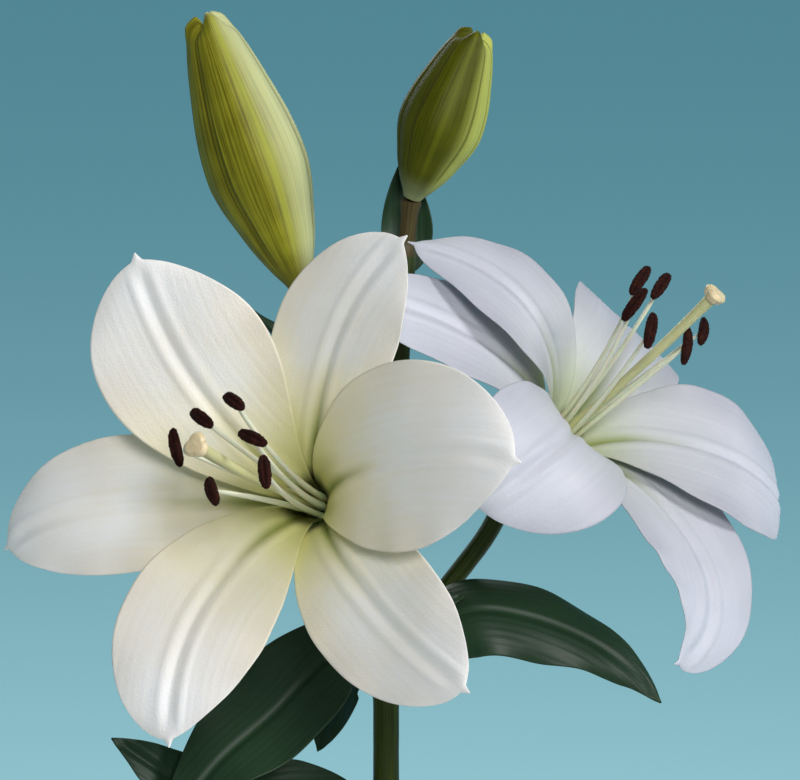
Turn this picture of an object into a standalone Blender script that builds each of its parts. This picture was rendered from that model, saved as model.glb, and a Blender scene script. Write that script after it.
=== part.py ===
"""Lilies in a vase: one cut stem with two open trumpet lilies, two buds and its leaves,
standing in water in a plain turned vase.

Metres, +Z up. The origin is the centre of the vase's underside and the open front flower
faces -Y. Everything that grows is placed from the vase's rim and from the stem, so the
whole plant follows the vase and its own stem when one of them changes.
"""

import math

import bmesh
import bpy
import numpy as np

MM = 0.001
GAP = 0.3 * MM  # left between two pieces that touch

# The vase, outside sizes
VASE_HEIGHT = 200 * MM
FOOT_RADIUS = 39 * MM
BELLY_RADIUS = 52 * MM
BELLY_HEIGHT = 76 * MM
NECK_RADIUS = 22.5 * MM
NECK_BELOW_RIM = 18 * MM
LIP_RADIUS = 28 * MM
VASE_WALL = 4 * MM
VASE_FLOOR = 7 * MM
FOOT_CHAMFER = 2 * MM
WATER_DEPTH = 90 * MM
TURNED_STEPS = 36

# The stem and the stalks that it carries
STEM_DIAMETER = 9.3 * MM
STEM_TOP_DIAMETER = 6.4 * MM
FLOWER_STALK_DIAMETER = 7 * MM
BUD_STALK_DIAMETER = 6.2 * MM
FOOT_MARGIN = 6 * MM  # between the stem's foot and the vase's inner wall
STEM_STEP = 12 * MM
# The stem's line above the rim: how far it has moved to the right, back and up
STEM_LINE = ((0, 0, 45), (0, 0, 85), (3, 2, 125), (5, 5, 170), (7, 8, 211))
UPRIGHT_OFFSET = 7 * MM  # from the neck's touching point, forward, to the upright stem

# The flower's throat
INNER_RING = 5.3 * MM
OUTER_RING = 7.0 * MM
RECEPTACLE_LENGTH = 12 * MM
RECEPTACLE_MARGIN = 0.7 * MM
SEAT_GAP = 1 * MM  # from the end of a stalk to the tepals' thickness
INNER_CLAW_ANGLE = 58  # the most that an inner tepal fills of the circle on each side, degrees
OUTER_CLAW_ANGLE = 47
CLAW_CLEARANCE = 3  # between the claws of two neighbours of one whorl, on each side, degrees

# The tepals
INNER_LENGTH = 109 * MM
OUTER_LENGTH = 112 * MM
INNER_WIDTH = 60 * MM
OUTER_WIDTH = 48 * MM
TEPAL_THICKNESS = 1.0 * MM
FURROW_DEPTH = 1.6 * MM
FURROW_WIDTH = 4 * MM
WIDEST_AT = 0.52  # share of the length
CLAW = 0.3  # width of the claw as a share of the width
CLAW_SPREAD = 0.9  # a smaller power broadens the tepal nearer its claw
BLUNT = 2.3  # how long a tepal stays broad towards its tip
ROUND_TIP = 0.68
POINT_WIDTH = 0.035  # width of the point as a share of the width
TURNED_TIP = 0.84  # share of the length past which a turned-back tip curls
NARROWING = (0.3, 0.95)  # shares of the length over which a slender tip loses its width
TEPAL_CUP = (12, 0, -15)  # half-angle of the cross-section at 35%, 65% and 100%, degrees
ALONG_TEPAL = 12
ACROSS_TEPAL = 8

# The stamens and the pistil
STAMEN_RING = 3.5 * MM
FILAMENT_FOOT_RADIUS = 1.0 * MM
FILAMENT_TIP_RADIUS = 0.6 * MM
ANTHER_LENGTH = 14 * MM
ANTHER_WIDTH = 4.5 * MM
ANTHER_DEPTH = 3.6 * MM
ANTHER_FULLNESS = 0.8  # a smaller power keeps the pod full nearer its ends
OVARY_RADIUS = 2.1 * MM
OVARY_LENGTH = 22 * MM
STYLE_RADIUS = 1.75 * MM
STIGMA_RADIUS = 4.0 * MM

# The buds
LARGE_BUD_LENGTH = 108 * MM
LARGE_BUD_RADIUS = 18.5 * MM
SMALL_BUD_LENGTH = 66.5 * MM
SMALL_BUD_RADIUS = 15.2 * MM
BUD_BASE_RADIUS = 3.8 * MM
# the bud's girth, as shares of its radius, at these shares of its length
BUD_STAGES = (0, 0.03, 0.08, 0.17, 0.26, 0.34, 0.43, 0.51, 0.6, 0.7, 0.8, 0.89, 0.94, 0.97, 1)
BUD_GIRTHS = (0.2, 0.27, 0.42, 0.64, 0.8, 0.93, 1, 0.98, 0.91, 0.79, 0.655, 0.505, 0.41, 0.31, 0)

# The leaves
LEAF_THICKNESS = 0.9 * MM
LEAF_BASE_WIDTH = 7 * MM
LEAF_WIDEST = 0.72  # a smaller power puts the widest place nearer the stem


def clear_scene():
    """Empty the file, so that only this object is in it."""
    for old in list(bpy.data.objects):
        bpy.data.objects.remove(old, do_unlink=True)


def collection(name):
    """A new collection in the scene."""
    made = bpy.data.collections.new(name)
    bpy.context.scene.collection.children.link(made)
    return made


def finish(name, colour, roughness, metallic=0.0):
    """A plain Principled material."""
    made = bpy.data.materials.new(name)
    made.use_nodes = True
    shader = made.node_tree.nodes["Principled BSDF"]
    shader.inputs["Base Color"].default_value = (*colour, 1)
    shader.inputs["Roughness"].default_value = roughness
    shader.inputs["Metallic"].default_value = metallic
    return made


def place(name, data, material, where):
    """Make the named object and give it its material and collection."""
    made = bpy.data.objects.new(name, data)
    made.data.materials.append(material)
    where.objects.link(made)
    return made


def unit(vector):
    """A vector of length 1 with this direction, as an array."""
    vector = np.asarray(vector, float)
    return vector / np.linalg.norm(vector)


def smooth(value, low, high):
    """0 below low, 1 above high and an S-curve between them."""
    share = np.clip((np.asarray(value, float) - low) / (high - low), 0, 1)
    return share * share * (3 - 2 * share)


def cubic_through(values, share):
    """The cubic through four values at 0, 1/3, 2/3 and 1 of the way."""
    knots = np.linspace(0, 1, len(values))
    total = np.zeros_like(share)
    for index, value in enumerate(values):
        term = np.full_like(share, float(value))
        for other, knot in enumerate(knots):
            if other != index:
                term = term * (share - knot) / (knots[index] - knot)
        total = total + term
    return total


def smooth_path(points, step):
    """A Catmull-Rom curve through the points, with a point about every step."""
    points = [np.asarray(point, float) for point in points]
    ends = [2 * points[0] - points[1], *points, 2 * points[-1] - points[-2]]
    path = [points[0]]
    for before, start, end, after in zip(ends, ends[1:], ends[2:], ends[3:]):
        count = max(1, round(np.linalg.norm(end - start) / step))
        for share in np.linspace(0, 1, count + 1)[1:]:
            pull = (
                2 * start
                + (end - before) * share
                + (2 * before - 5 * start + 4 * end - after) * share**2
                + (3 * start - before - 3 * end + after) * share**3
            )
            path.append(pull / 2)
    return np.array(path)


def along(path, shares):
    """Points at these shares of a path's length."""
    steps = np.linalg.norm(np.diff(path, axis=0), axis=1)
    reached = np.concatenate([[0], np.cumsum(steps)])
    reached /= reached[-1]
    return np.stack([np.interp(shares, reached, path[:, axis]) for axis in range(3)], 1)


def turned(name, profile, material, where):
    """A solid turned about Z. The profile (radius, height) runs out, down and back in."""
    mesh = bpy.data.meshes.new(name)
    shape = bmesh.new()
    corners = [shape.verts.new((radius, 0, height)) for radius, height in profile]
    for first, second in zip(corners, corners[1:]):
        shape.edges.new((first, second))
    shape.to_mesh(mesh)
    shape.free()
    made = place(name, mesh, material, where)
    screw = made.modifiers.new("turn", "SCREW")
    screw.axis = "Z"
    screw.steps = screw.render_steps = TURNED_STEPS
    screw.use_merge_vertices = True
    screw.merge_threshold = 0.01 * MM
    screw.use_smooth_shade = True
    return made


def tube(name, points, radii, material, where, sides=8):
    """A round rod along the points, with a radius at each and closed ends."""
    data = bpy.data.curves.new(name, "CURVE")
    data.dimensions = "3D"
    data.bevel_depth = max(radii)
    data.bevel_resolution = (sides - 4) // 2
    data.use_fill_caps = True
    spline = data.splines.new("POLY")
    spline.points.add(len(points) - 1)
    for point, place_at, radius in zip(spline.points, points, radii):
        point.co = (*place_at, 1)
        point.radius = radius / max(radii)
    spline.use_smooth = True
    return place(name, data, material, where)


def sheet(name, rule, thickness, material, where, along_count, across_count):
    """A thin blade: a grid moved by rule(share along, place across), made thick."""
    mesh = bpy.data.meshes.new(name)
    grid = bmesh.new()
    bmesh.ops.create_grid(grid, x_segments=along_count, y_segments=across_count, size=1)
    flat = np.array([vertex.co for vertex in grid.verts])
    moved = rule((flat[:, 0] + 1) / 2, flat[:, 1])
    for vertex, point in zip(grid.verts, moved):
        vertex.co = point
    grid.to_mesh(mesh)
    grid.free()
    mesh.shade_smooth()
    made = place(name, mesh, material, where)
    thicken = made.modifiers.new("thickness", "SOLIDIFY")
    thicken.thickness = thickness
    thicken.offset = 0
    return made


def rounded(name, rule, material, where, rings, sides):
    """A closed pod: a sphere moved by rule(share along, angle round)."""
    mesh = bpy.data.meshes.new(name)
    ball = bmesh.new()
    bmesh.ops.create_uvsphere(ball, u_segments=sides, v_segments=rings, radius=1)
    start = np.array([vertex.co for vertex in ball.verts])
    share = np.arccos(np.clip(-start[:, 2], -1, 1)) / math.pi
    moved = rule(share, np.arctan2(start[:, 1], start[:, 0]))
    for vertex, point in zip(ball.verts, moved):
        vertex.co = point
    ball.to_mesh(mesh)
    ball.free()
    mesh.shade_smooth()
    return place(name, mesh, material, where)


# ---------------------------------------------------------------- the vase and its water


def vase_radius(height):
    """The vase's outer radius at a height."""
    neck_height = VASE_HEIGHT - NECK_BELOW_RIM
    if height <= BELLY_HEIGHT:
        rise = math.sin(math.pi / 2 * height / BELLY_HEIGHT)
        return FOOT_RADIUS + (BELLY_RADIUS - FOOT_RADIUS) * rise
    if height <= neck_height:
        turn = math.pi * (height - BELLY_HEIGHT) / (neck_height - BELLY_HEIGHT)
        return NECK_RADIUS + (BELLY_RADIUS - NECK_RADIUS) * (1 + math.cos(turn)) / 2
    return NECK_RADIUS + (LIP_RADIUS - NECK_RADIUS) * ((height - neck_height) / NECK_BELOW_RIM) ** 2


def make_vase(material, where):
    """The turned wall, floor and lip."""
    top = VASE_HEIGHT - VASE_WALL / 2
    outer_heights = np.linspace(FOOT_CHAMFER, top, 22)
    inner_heights = np.linspace(VASE_FLOOR, top, 20)
    inner = [(vase_radius(height) - VASE_WALL, height) for height in inner_heights]
    outer = [(vase_radius(height), height) for height in outer_heights[::-1]]
    lip = [(vase_radius(top) - VASE_WALL / 2, VASE_HEIGHT)]
    foot = [(FOOT_RADIUS - FOOT_CHAMFER, 0), (0, 0)]
    turned("vase", [(0, VASE_FLOOR), *inner, *lip, *outer, *foot], material, where)


def make_water(material, where, cutters):
    """The water round the stem's foot, with room cut for the stem."""
    low = VASE_FLOOR + GAP
    heights = np.linspace(low, WATER_DEPTH, 9)
    wall = [(vase_radius(height) - VASE_WALL - 2 * GAP, height) for height in heights[::-1]]
    water = turned("water", [(0, WATER_DEPTH), *wall, (0, low)], material, where)
    path = stem_path()
    foot = path[0] + (path[0] - path[1])
    reach = np.array([foot, *path[: len(path) // 2]])
    wide = tube("stem_room", reach, [STEM_DIAMETER / 2 + GAP] * len(reach), material, cutters)
    solid = bpy.data.meshes.new_from_object(
        wide.evaluated_get(bpy.context.evaluated_depsgraph_get())
    )
    weld = bmesh.new()
    weld.from_mesh(solid)
    bmesh.ops.remove_doubles(weld, verts=weld.verts, dist=0.01 * MM)
    weld.to_mesh(solid)
    weld.free()
    cutter = bpy.data.objects.new("stem_room_solid", solid)
    cutter.matrix_world = wide.matrix_world
    cutters.objects.link(cutter)
    bpy.data.objects.remove(wide)
    cutter.hide_render = True
    cutter.display_type = "WIRE"
    cut = water.modifiers.new("stem room", "BOOLEAN")
    cut.operation = "DIFFERENCE"
    cut.object = cutter


# ---------------------------------------------------------------- the stem


def neck_touch():
    """The stem's centre where it leans on the front of the neck."""
    neck_height = VASE_HEIGHT - NECK_BELOW_RIM
    foot_y = vase_radius(VASE_FLOOR) - VASE_WALL - STEM_DIAMETER / 2 - FOOT_MARGIN
    reach = NECK_RADIUS - VASE_WALL - STEM_DIAMETER / 2
    lean = math.atan2(foot_y + reach, neck_height - VASE_FLOOR)
    # The neck opens out less steeply than the stem leans, so it may touch a little higher.
    free = min(
        vase_radius(neck_height + more) - VASE_WALL - math.tan(lean) * more
        for more in np.linspace(0, NECK_BELOW_RIM, 19)
    )
    reach = free - STEM_DIAMETER / 2 / math.cos(lean) - GAP
    foot_z = VASE_FLOOR + GAP + STEM_DIAMETER / 2 * math.sin(lean)
    return np.array([0, foot_y, foot_z]), np.array([0, -reach, neck_height])


def plant_point(right, back, up):
    """A point given in millimetres from the upright stem, at the height of the rim."""
    upright = neck_touch()[1][1] - UPRIGHT_OFFSET
    return np.array([right * MM, upright + back * MM, VASE_HEIGHT + up * MM])


def stem_path():
    """The stem's centre line from its foot in the water to the small bud's stalk."""
    foot, neck = neck_touch()
    straight = [foot + (neck - foot) * share for share in np.linspace(0, 1, 8)]
    past = neck + (neck - foot) * 0.06
    return smooth_path([*straight, past, *(plant_point(*at) for at in STEM_LINE)], STEM_STEP)


def stem_radius(height):
    """The stem is even below its first stalk and thinner above."""
    thinner = smooth(height, VASE_HEIGHT + 90 * MM, VASE_HEIGHT + 160 * MM)
    return (STEM_DIAMETER + (STEM_TOP_DIAMETER - STEM_DIAMETER) * thinner) / 2


def on_stem(up, azimuth, clear):
    """A point beside the stem, this far clear of it, on the side of the azimuth."""
    path = stem_path()
    height = VASE_HEIGHT + up * MM
    centre = np.array([np.interp(height, path[:, 2], path[:, axis]) for axis in range(3)])
    turn = math.radians(azimuth)
    side = np.array([math.cos(turn), math.sin(turn), 0])
    return centre + side * (stem_radius(height) + GAP + clear)


def make_stem(material, where):
    """The cut stem, from its foot on the vase's floor to its top."""
    path = stem_path()
    tube("stem", path, [stem_radius(point[2]) for point in path], material, where)


def make_stalk(name, up, azimuth, between, end, direction, diameter, end_radius, material, where):
    """A stalk from the stem's side to a flower or a bud, swelling where it carries it."""
    radius = diameter / 2
    start = on_stem(up, azimuth, radius * 0.75)
    collar = end - unit(direction) * RECEPTACLE_LENGTH
    path = smooth_path([start, *(plant_point(*at) for at in between), collar, end], 6 * MM)
    left = np.linalg.norm(path - end, axis=1)
    swell = 1 - smooth(left, 0, RECEPTACLE_LENGTH)
    tube(name, path, list(radius + (end_radius - radius) * swell), material, where)


# ---------------------------------------------------------------- the flowers


class Flower:
    """A flower's place: the centre of its throat, its axis and the two directions across."""

    def __init__(self, name, base, axis):
        self.name = name
        self.base = plant_point(*base)
        self.axis = unit(axis)
        self.up = unit(np.array([0, 0, 1]) - self.axis[2] * self.axis)
        self.right = np.cross(self.up, self.axis)

    def across(self, azimuth):
        """Outward and sideways directions at an azimuth round the axis."""
        turn = math.radians(azimuth)
        outward = math.cos(turn) * self.right + math.sin(turn) * self.up
        return outward, -math.sin(turn) * self.right + math.cos(turn) * self.up

    def point(self, azimuth, spread, reach):
        """A point by azimuth, distance from the axis and distance along it."""
        return self.base + self.across(azimuth)[0] * spread + self.axis * reach


# ring, the most that a claw fills on each side, length and width
WHORLS = {
    "inner": (INNER_RING, INNER_CLAW_ANGLE, INNER_LENGTH, INNER_WIDTH),
    "outer": (OUTER_RING, OUTER_CLAW_ANGLE, OUTER_LENGTH, OUTER_WIDTH),
}


def half_width(share, width):
    """Half of a tepal's width along it: a narrow claw, a broad middle and a round tip."""
    rise = np.sin(math.pi / 2 * np.clip(share / WIDEST_AT, 0, 1)) ** CLAW_SPREAD
    fall = 1 - np.clip((share - WIDEST_AT) / (1 - WIDEST_AT), 0, 1) ** BLUNT
    wide = np.where(share < WIDEST_AT, CLAW + (1 - CLAW) * rise, np.maximum(fall, 0) ** ROUND_TIP)
    return width / 2 * np.maximum(wide, POINT_WIDTH)


def room_beside(tepals, whorl, azimuth):
    """The angles that a tepal's claw may fill towards its neighbours of the same whorl."""
    others = [other[2] for other in tepals if other[1] == whorl and other[2] != azimuth]
    before = min((azimuth - other) % 360 for other in others) / 2 - CLAW_CLEARANCE
    after = min((other - azimuth) % 360 for other in others) / 2 - CLAW_CLEARANCE
    most = WHORLS[whorl][1]
    return math.radians(min(before, most)), math.radians(min(after, most))


def tepal_rule(flower, room, whorl, azimuth, longer, wider, flare, side, tip):
    """The tepal's middle surface. Flare turns it away from the axis at 0, 1/3, 2/3 and 1 of
    its length, and side turns it across at the middle and at the tip, all in degrees. Tip is
    how many degrees more the last part turns back and the share of the width that it loses."""
    ring, _, length, width = WHORLS[whorl]
    length, width = length + longer * MM, width + wider * MM
    outward, sideways = flower.across(azimuth)
    axis = flower.axis

    def directions(share):
        away = np.radians(cubic_through(flare, share) + tip[0] * smooth(share, TURNED_TIP, 1))[:, None]
        aside = np.radians(np.interp(share, [0, 0.5, 1], [0, *side]))[:, None]
        ahead = np.cos(away) * axis + np.sin(away) * outward
        tangent = np.cos(aside) * ahead + np.sin(aside) * sideways
        across = np.cos(aside) * sideways - np.sin(aside) * ahead
        inner = np.sin(away) * axis - np.cos(away) * outward
        return tangent, across, inner, away[:, 0]

    steps = 200
    middles = (np.arange(steps) + 0.5) / steps
    walked = np.cumsum(directions(middles)[0] * length / steps, axis=0)
    midrib = flower.base + ring * outward + np.concatenate([np.zeros((1, 3)), walked])

    def rule(share, place_across):
        tangent, across, inner, away = directions(share)
        centre = np.stack(
            [np.interp(share, np.linspace(0, 1, steps + 1), midrib[:, k]) for k in range(3)], 1
        )
        from_base = centre - flower.base
        radius = np.linalg.norm(from_base - (from_base @ axis)[:, None] * axis, axis=1)
        # Near the throat a tepal fills no more than its own part of the circle.
        limit = np.where(place_across < 0, *room) * radius
        half = half_width(share, width) * (1 - tip[1] * smooth(share, *NARROWING))
        half = half * limit / (half**4 + limit**4) ** 0.25
        wrapped = 1 - smooth(share, 0.05, 0.45)
        cup = np.radians(np.interp(share, [0, 0.35, 0.65, 1], [0, *TEPAL_CUP]))
        bend = np.cos(away) * half / radius * wrapped + cup * (1 - wrapped)
        bend = np.where(np.abs(bend) < 0.001, 0.001, bend)
        placed = np.sign(place_across) * np.abs(place_across) ** 1.3
        x = half / bend * np.sin(bend * placed)
        y = half / bend * (1 - np.cos(bend * placed))
        depth = FURROW_DEPTH * (1 - 0.6 * share) * smooth(share, 0.02, 0.15)
        y = y - depth * np.exp(-((x / FURROW_WIDTH) ** 2))
        return centre + across * x[:, None] + inner * y[:, None]

    return rule


def make_tepals(flower, tepals, material, where):
    """Six tepals: three inner ones and three outer ones behind the gaps between them."""
    for name, whorl, azimuth, *shape in tepals:
        room = room_beside(tepals, whorl, azimuth)
        rule = tepal_rule(flower, room, whorl, azimuth, *shape)
        node = f"{flower.name}_{whorl}_tepal_{name}"
        sheet(node, rule, TEPAL_THICKNESS, material, where, ALONG_TEPAL, ACROSS_TEPAL)


def anther_rule(centre, direction, outward):
    """A long pod with a groove along each side."""
    long = unit(direction)
    wide = unit(np.cross(long, outward))
    deep = np.cross(long, wide)

    def rule(share, turn):
        reach = -np.cos(math.pi * share) * ANTHER_LENGTH / 2
        full = np.sin(math.pi * share) ** ANTHER_FULLNESS
        x = np.cos(turn) * full * ANTHER_WIDTH / 2
        y = np.sin(turn) * full * ANTHER_DEPTH / 2
        return centre + long * reach[:, None] + wide * x[:, None] + deep * y[:, None]

    return rule


def make_stamens(flower, stamens, materials, where):
    """Six filaments from a ring round the ovary, each with an anther across its tip."""
    for number, (start, azimuth, spread, reach, swing) in enumerate(stamens, 1):
        foot = flower.point(start, STAMEN_RING, GAP)
        centre = flower.point(azimuth, spread * MM, reach * MM)
        direction = unit(swing[0] * flower.right + swing[1] * flower.up + swing[2] * flower.axis)
        sweep = centre - foot
        rise = sweep @ flower.axis
        sideways = sweep - rise * flower.axis
        arrive = unit(1.6 * sideways + rise * flower.axis)
        slant = arrive @ direction
        half_depth = 1 / math.sqrt(
            (slant / (ANTHER_LENGTH / 2)) ** 2 + (1 - slant**2) / (ANTHER_WIDTH / 2) ** 2
        )
        stop = centre - arrive * (half_depth + FILAMENT_TIP_RADIUS + GAP)
        rise = (stop - foot) @ flower.axis
        sideways = stop - foot - rise * flower.axis
        shares = np.linspace(0, 1, 6)
        path = [foot + sideways * share**1.6 + rise * flower.axis * share for share in shares]
        radii = [
            FILAMENT_FOOT_RADIUS + (FILAMENT_TIP_RADIUS - FILAMENT_FOOT_RADIUS) * share
            for share in shares
        ]
        tube(f"{flower.name}_filament_{number}", path, radii, materials["filament"], where, 6)
        pod = anther_rule(centre, direction, arrive)
        rounded(f"{flower.name}_anther_{number}", pod, materials["anther"], where, 8, 8)


def make_pistil(flower, azimuth, spread, reach, material, where):
    """The ovary, the style that grows out of it and the knob at its end."""
    stop = flower.point(azimuth, spread * MM, reach * MM)
    foot = flower.base + flower.axis * GAP
    rise = (stop - foot) @ flower.axis
    sideways = stop - foot - rise * flower.axis
    ovary = OVARY_LENGTH / rise
    knob = STIGMA_RADIUS / rise
    shares = [0, ovary * 0.5, ovary, ovary * 1.2, 0.45, 0.65, 0.82, 1 - 3 * knob, 1 - knob, 1]
    radii = [OVARY_RADIUS] * 3 + [STYLE_RADIUS] * 4
    radii += [STYLE_RADIUS * 1.25, STIGMA_RADIUS, STIGMA_RADIUS * 0.75]
    path = [foot + sideways * share**2 + rise * flower.axis * share for share in shares]
    tube(f"{flower.name}_pistil", path, radii, material, where)


# name, whorl, azimuth, how much longer and wider than usual (mm), flare, side turn, tip
FRONT_TEPALS = (
    ("left", "outer", 188, 2, 0, (12, 65, 80, 125), (0, 24), (0, 0)),
    ("lower_right", "outer", 316, -2, -1, (12, 66, 76, 88), (4, 18), (0, 0)),
    ("upper", "outer", 77, -9, -1, (12, 65, 76, 98), (-5, -36), (0, 0)),
    ("upper_left", "inner", 142, -1, 4, (12, 48, 60, 76), (-14, -34), (0, 0)),
    ("lower_left", "inner", 233, -1, -7, (12, 52, 68, 87), (18, 52), (0, 0)),
    ("right", "inner", 20, 2, 4, (12, 53, 72, 98), (-8, -30), (0, 0)),
)
RIGHT_TEPALS = (
    ("left", "outer", 145, 0, -5, (12, 72, 97, 124), (0, 0), (0, 0)),
    ("low", "outer", 275, 17, 9, (12, 70, 93, 135), (-7, -90), (0, 0.42)),
    ("back", "outer", 33, -16, 6, (12, 66, 108, 160), (0, 0), (0, 0)),
    ("upper_left", "inner", 119, -4, -7, (12, 55, 99, 128), (0, 4), (0, 0.18)),
    ("front", "inner", 205, -8, 1, (12, 54, 106, 158), (-6, -10), (0, 0)),
    ("right", "inner", 319, 0, 4, (12, 54, 90, 136), (2, 6), (80, 0.04)),
)
# where the filament starts, then its anther's azimuth, spread, reach (mm) and direction
FRONT_STAMENS = (
    (164, 157, 18, 73, (0.4, -0.9, 0.1)),
    (104, 117, 19, 73, (0.8, -0.4, 0.4)),
    (44, 84, 23, 73, (0.8, -0.4, 0.5)),
    (344, 47, 15.5, 73, (0.9, -0.3, 0.3)),
    (284, 3, 16.5, 73, (0.4, -0.8, 0.4)),
    (224, 256, 6.5, 73, (0.6, -0.7, 0.5)),
)
RIGHT_STAMENS = (
    (120, 95, 25.5, 70, (0.7, 0.5, 0.4)),
    (180, 131, 21, 70, (0.4, 0.4, 0.8)),
    (60, 70, 24, 70, (0.8, 0.5, 0.3)),
    (240, 158, 14, 70, (0.5, 0.8, 0.4)),
    (300, 0, 9.5, 66, (0.3, 0.8, 0.5)),
    (0, 12, 25, 66, (0.7, 0.7, 0.1)),
)


# ---------------------------------------------------------------- the buds


def make_bud(name, base, tip, length, radius, material, where):
    """A closed bud: three outer tepals shut round the rest, full in the middle."""
    foot = plant_point(*base)
    axis = unit(plant_point(*tip) - foot)
    right = unit(np.cross(axis, (0, 1, 0)))
    back = np.cross(axis, right)
    foot = foot + axis * GAP

    def rule(share, turn):
        up = (1 - np.cos(math.pi * share)) / 2
        full = np.interp(up, BUD_STAGES, BUD_GIRTHS) * smooth(share, 0, 0.02)
        belly = radius * full * (1 + 0.045 * np.cos(3 * turn))
        floor = BUD_BASE_RADIUS * smooth(share, 0, 0.1) * (1 - smooth(up, 0.05, 0.3))
        belly = np.maximum(belly, floor)
        out = np.cos(turn)[:, None] * right + np.sin(turn)[:, None] * back
        return foot + axis * (up * length)[:, None] + out * belly[:, None]

    rounded(name, rule, material, where, 16, 12)
    return foot - axis * GAP * 2, axis


# ---------------------------------------------------------------- the leaves


def make_leaf(name, up, azimuth, route, width, facing, arch, material, where):
    """A lance-shaped leaf from the stem's side along a route, its upper face turned to
    facing. Arch bends each half: down when negative, up when positive, in degrees."""
    base_half = LEAF_BASE_WIDTH / 2
    start = on_stem(up, azimuth, LEAF_BASE_WIDTH * 0.35)
    path = smooth_path([start, *(plant_point(*at) for at in route)], 3 * MM)
    length = np.linalg.norm(np.diff(path, axis=0), axis=1).sum()

    def rule(share, place_across):
        centre = along(path, share)
        ahead = along(path, np.clip(share + 0.01, 0, 1)) - along(path, np.clip(share - 0.01, 0, 1))
        tangent = ahead / np.linalg.norm(ahead, axis=1)[:, None]
        side = np.cross(tangent, facing)
        side /= np.linalg.norm(side, axis=1)[:, None]
        face = np.cross(side, tangent)
        blade = np.sin(math.pi * np.clip(share, 0, 1) ** LEAF_WIDEST) ** 0.8
        half = width / 2 * blade
        half = np.maximum(half, base_half * (1 - smooth(share, 0, 0.15)))
        half = np.maximum(half, LEAF_THICKNESS * 0.6)
        bend = math.radians(arch) * smooth(share, 0, 0.25) + 0.001
        x = half / bend * np.sin(bend * place_across)
        y = half / bend * (1 - np.cos(bend * place_across))
        return centre + side * x[:, None] + face * y[:, None]

    sheet(name, rule, LEAF_THICKNESS, material, where, max(8, round(length / (9 * MM))), 6)


# name, height on the stem (mm), azimuth, route (mm), width, the way its face looks, arch
LEAVES = (
    ("leaf_right", 66, -35,
     ((15, -12, 78), (31, -17, 87), (50, -17, 85), (71, -17, 77), (87, -19, 66), (97, -22, 55)),
     34 * MM, (0.1, -0.75, 0.65), -32),
    ("leaf_front_left", 70, -130,
     ((-20, -9, 69), (-40, -16, 50), (-60, -24, 33), (-78, -32, 10)),
     41 * MM, (-0.3, -0.8, 0.5), 14),
    ("leaf_lower_left", 14, 180,
     ((-30, -2, 15), (-60, -8, 16), (-97, -20, 42)),
     34 * MM, (0.2, -0.8, 0.6), 14),
    ("leaf_behind_left", 62, 165,
     ((-14, 6, 58), (-20, 9, 45), (-25, 10, 31)),
     19 * MM, (-0.5, -0.8, 0.3), 10),
    ("leaf_back", 60, 100,
     ((-6, 26, 80), (-14, 56, 84), (-22, 86, 66)),
     32 * MM, (0, 0.2, 1), 16),
    ("bract_right", 80, -60,
     ((12, -13, 87), (20, -17, 91), (28, -17, 92)),
     10 * MM, (0, -0.8, 0.6), 16),
    ("bract_upper", 204, 95,
     ((7.5, 17, 220), (6, 18, 246)),
     19 * MM, (0, -1, 0.1), 22),
    ("bract_left", 140, 130,
     ((-22, 24, 166), (-50, 24, 192)),
     14 * MM, (0.3, -0.7, 0.6), 12),
)


def make_plant(where):
    """Everything that grows: stem, stalks, flowers, buds and leaves."""
    stem = finish("stem_green", (0.035, 0.07, 0.012), 0.45)
    stalk_brown = finish("bud_stalk_brown", (0.06, 0.03, 0.01), 0.5)
    leaf = finish("leaf_green", (0.012, 0.035, 0.014), 0.4)
    bud = finish("bud_green", (0.3, 0.33, 0.06), 0.5)
    petal = finish("tepal_white", (0.75, 0.74, 0.7), 0.5)
    parts = {
        "filament": finish("filament_pale", (0.62, 0.68, 0.42), 0.45),
        "anther": finish("anther_brown", (0.04, 0.008, 0.004), 0.85),
    }
    pistil = finish("pistil_green", (0.5, 0.55, 0.25), 0.4)

    make_stem(stem, where)
    front = Flower("front_flower", (-23, -50, 129), (-0.41, -0.875, 0.257))
    right = Flower("right_flower", (57, 0, 143), (0.63, -0.51, 0.585))
    carry = OUTER_RING + RECEPTACLE_MARGIN
    for flower, up, azimuth, between in (
        (front, 97, -100, ((-7, -21, 114),)),
        (right, 74, 18, ((23, 2, 94), (37, 2, 113))),
    ):
        end = flower.base - flower.axis * (TEPAL_THICKNESS / 2 + SEAT_GAP)
        make_stalk(f"{flower.name}_stalk", up, azimuth, between, end, flower.axis,
                   FLOWER_STALK_DIAMETER, carry, stem, where)
    make_tepals(front, FRONT_TEPALS, petal, where)
    make_stamens(front, FRONT_STAMENS, parts, where)
    make_pistil(front, 85, 5.5, 91, pistil, where)
    make_tepals(right, RIGHT_TEPALS, petal, where)
    make_stamens(right, RIGHT_STAMENS, parts, where)
    make_pistil(right, 46, 10, 88, pistil, where)

    end, axis = make_bud("large_bud", (-30.3, 14, 198.8), (-64.8, 10, 297.4),
                         LARGE_BUD_LENGTH, LARGE_BUD_RADIUS, bud, where)
    make_stalk("large_bud_stalk", 146, 115, ((-14, 17, 177),), end, axis,
               BUD_STALK_DIAMETER, BUD_BASE_RADIUS, stem, where)
    end, axis = make_bud("small_bud", (9, 6, 231.4), (32.5, 0, 291.5),
                         SMALL_BUD_LENGTH, SMALL_BUD_RADIUS, bud, where)
    below, top = stem_path()[-2:]
    start = top + unit(top - below) * GAP * 2
    path = smooth_path([start, start + unit(top - below) * 6 * MM, end], 5 * MM)
    radii = [BUD_STALK_DIAMETER / 2] * (len(path) - 1) + [BUD_BASE_RADIUS]
    tube("small_bud_stalk", path, radii, stalk_brown, where)

    for name, up, azimuth, route, width, facing, arch in LEAVES:
        make_leaf(name, up, azimuth, route, width, facing, arch, leaf, where)


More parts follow.
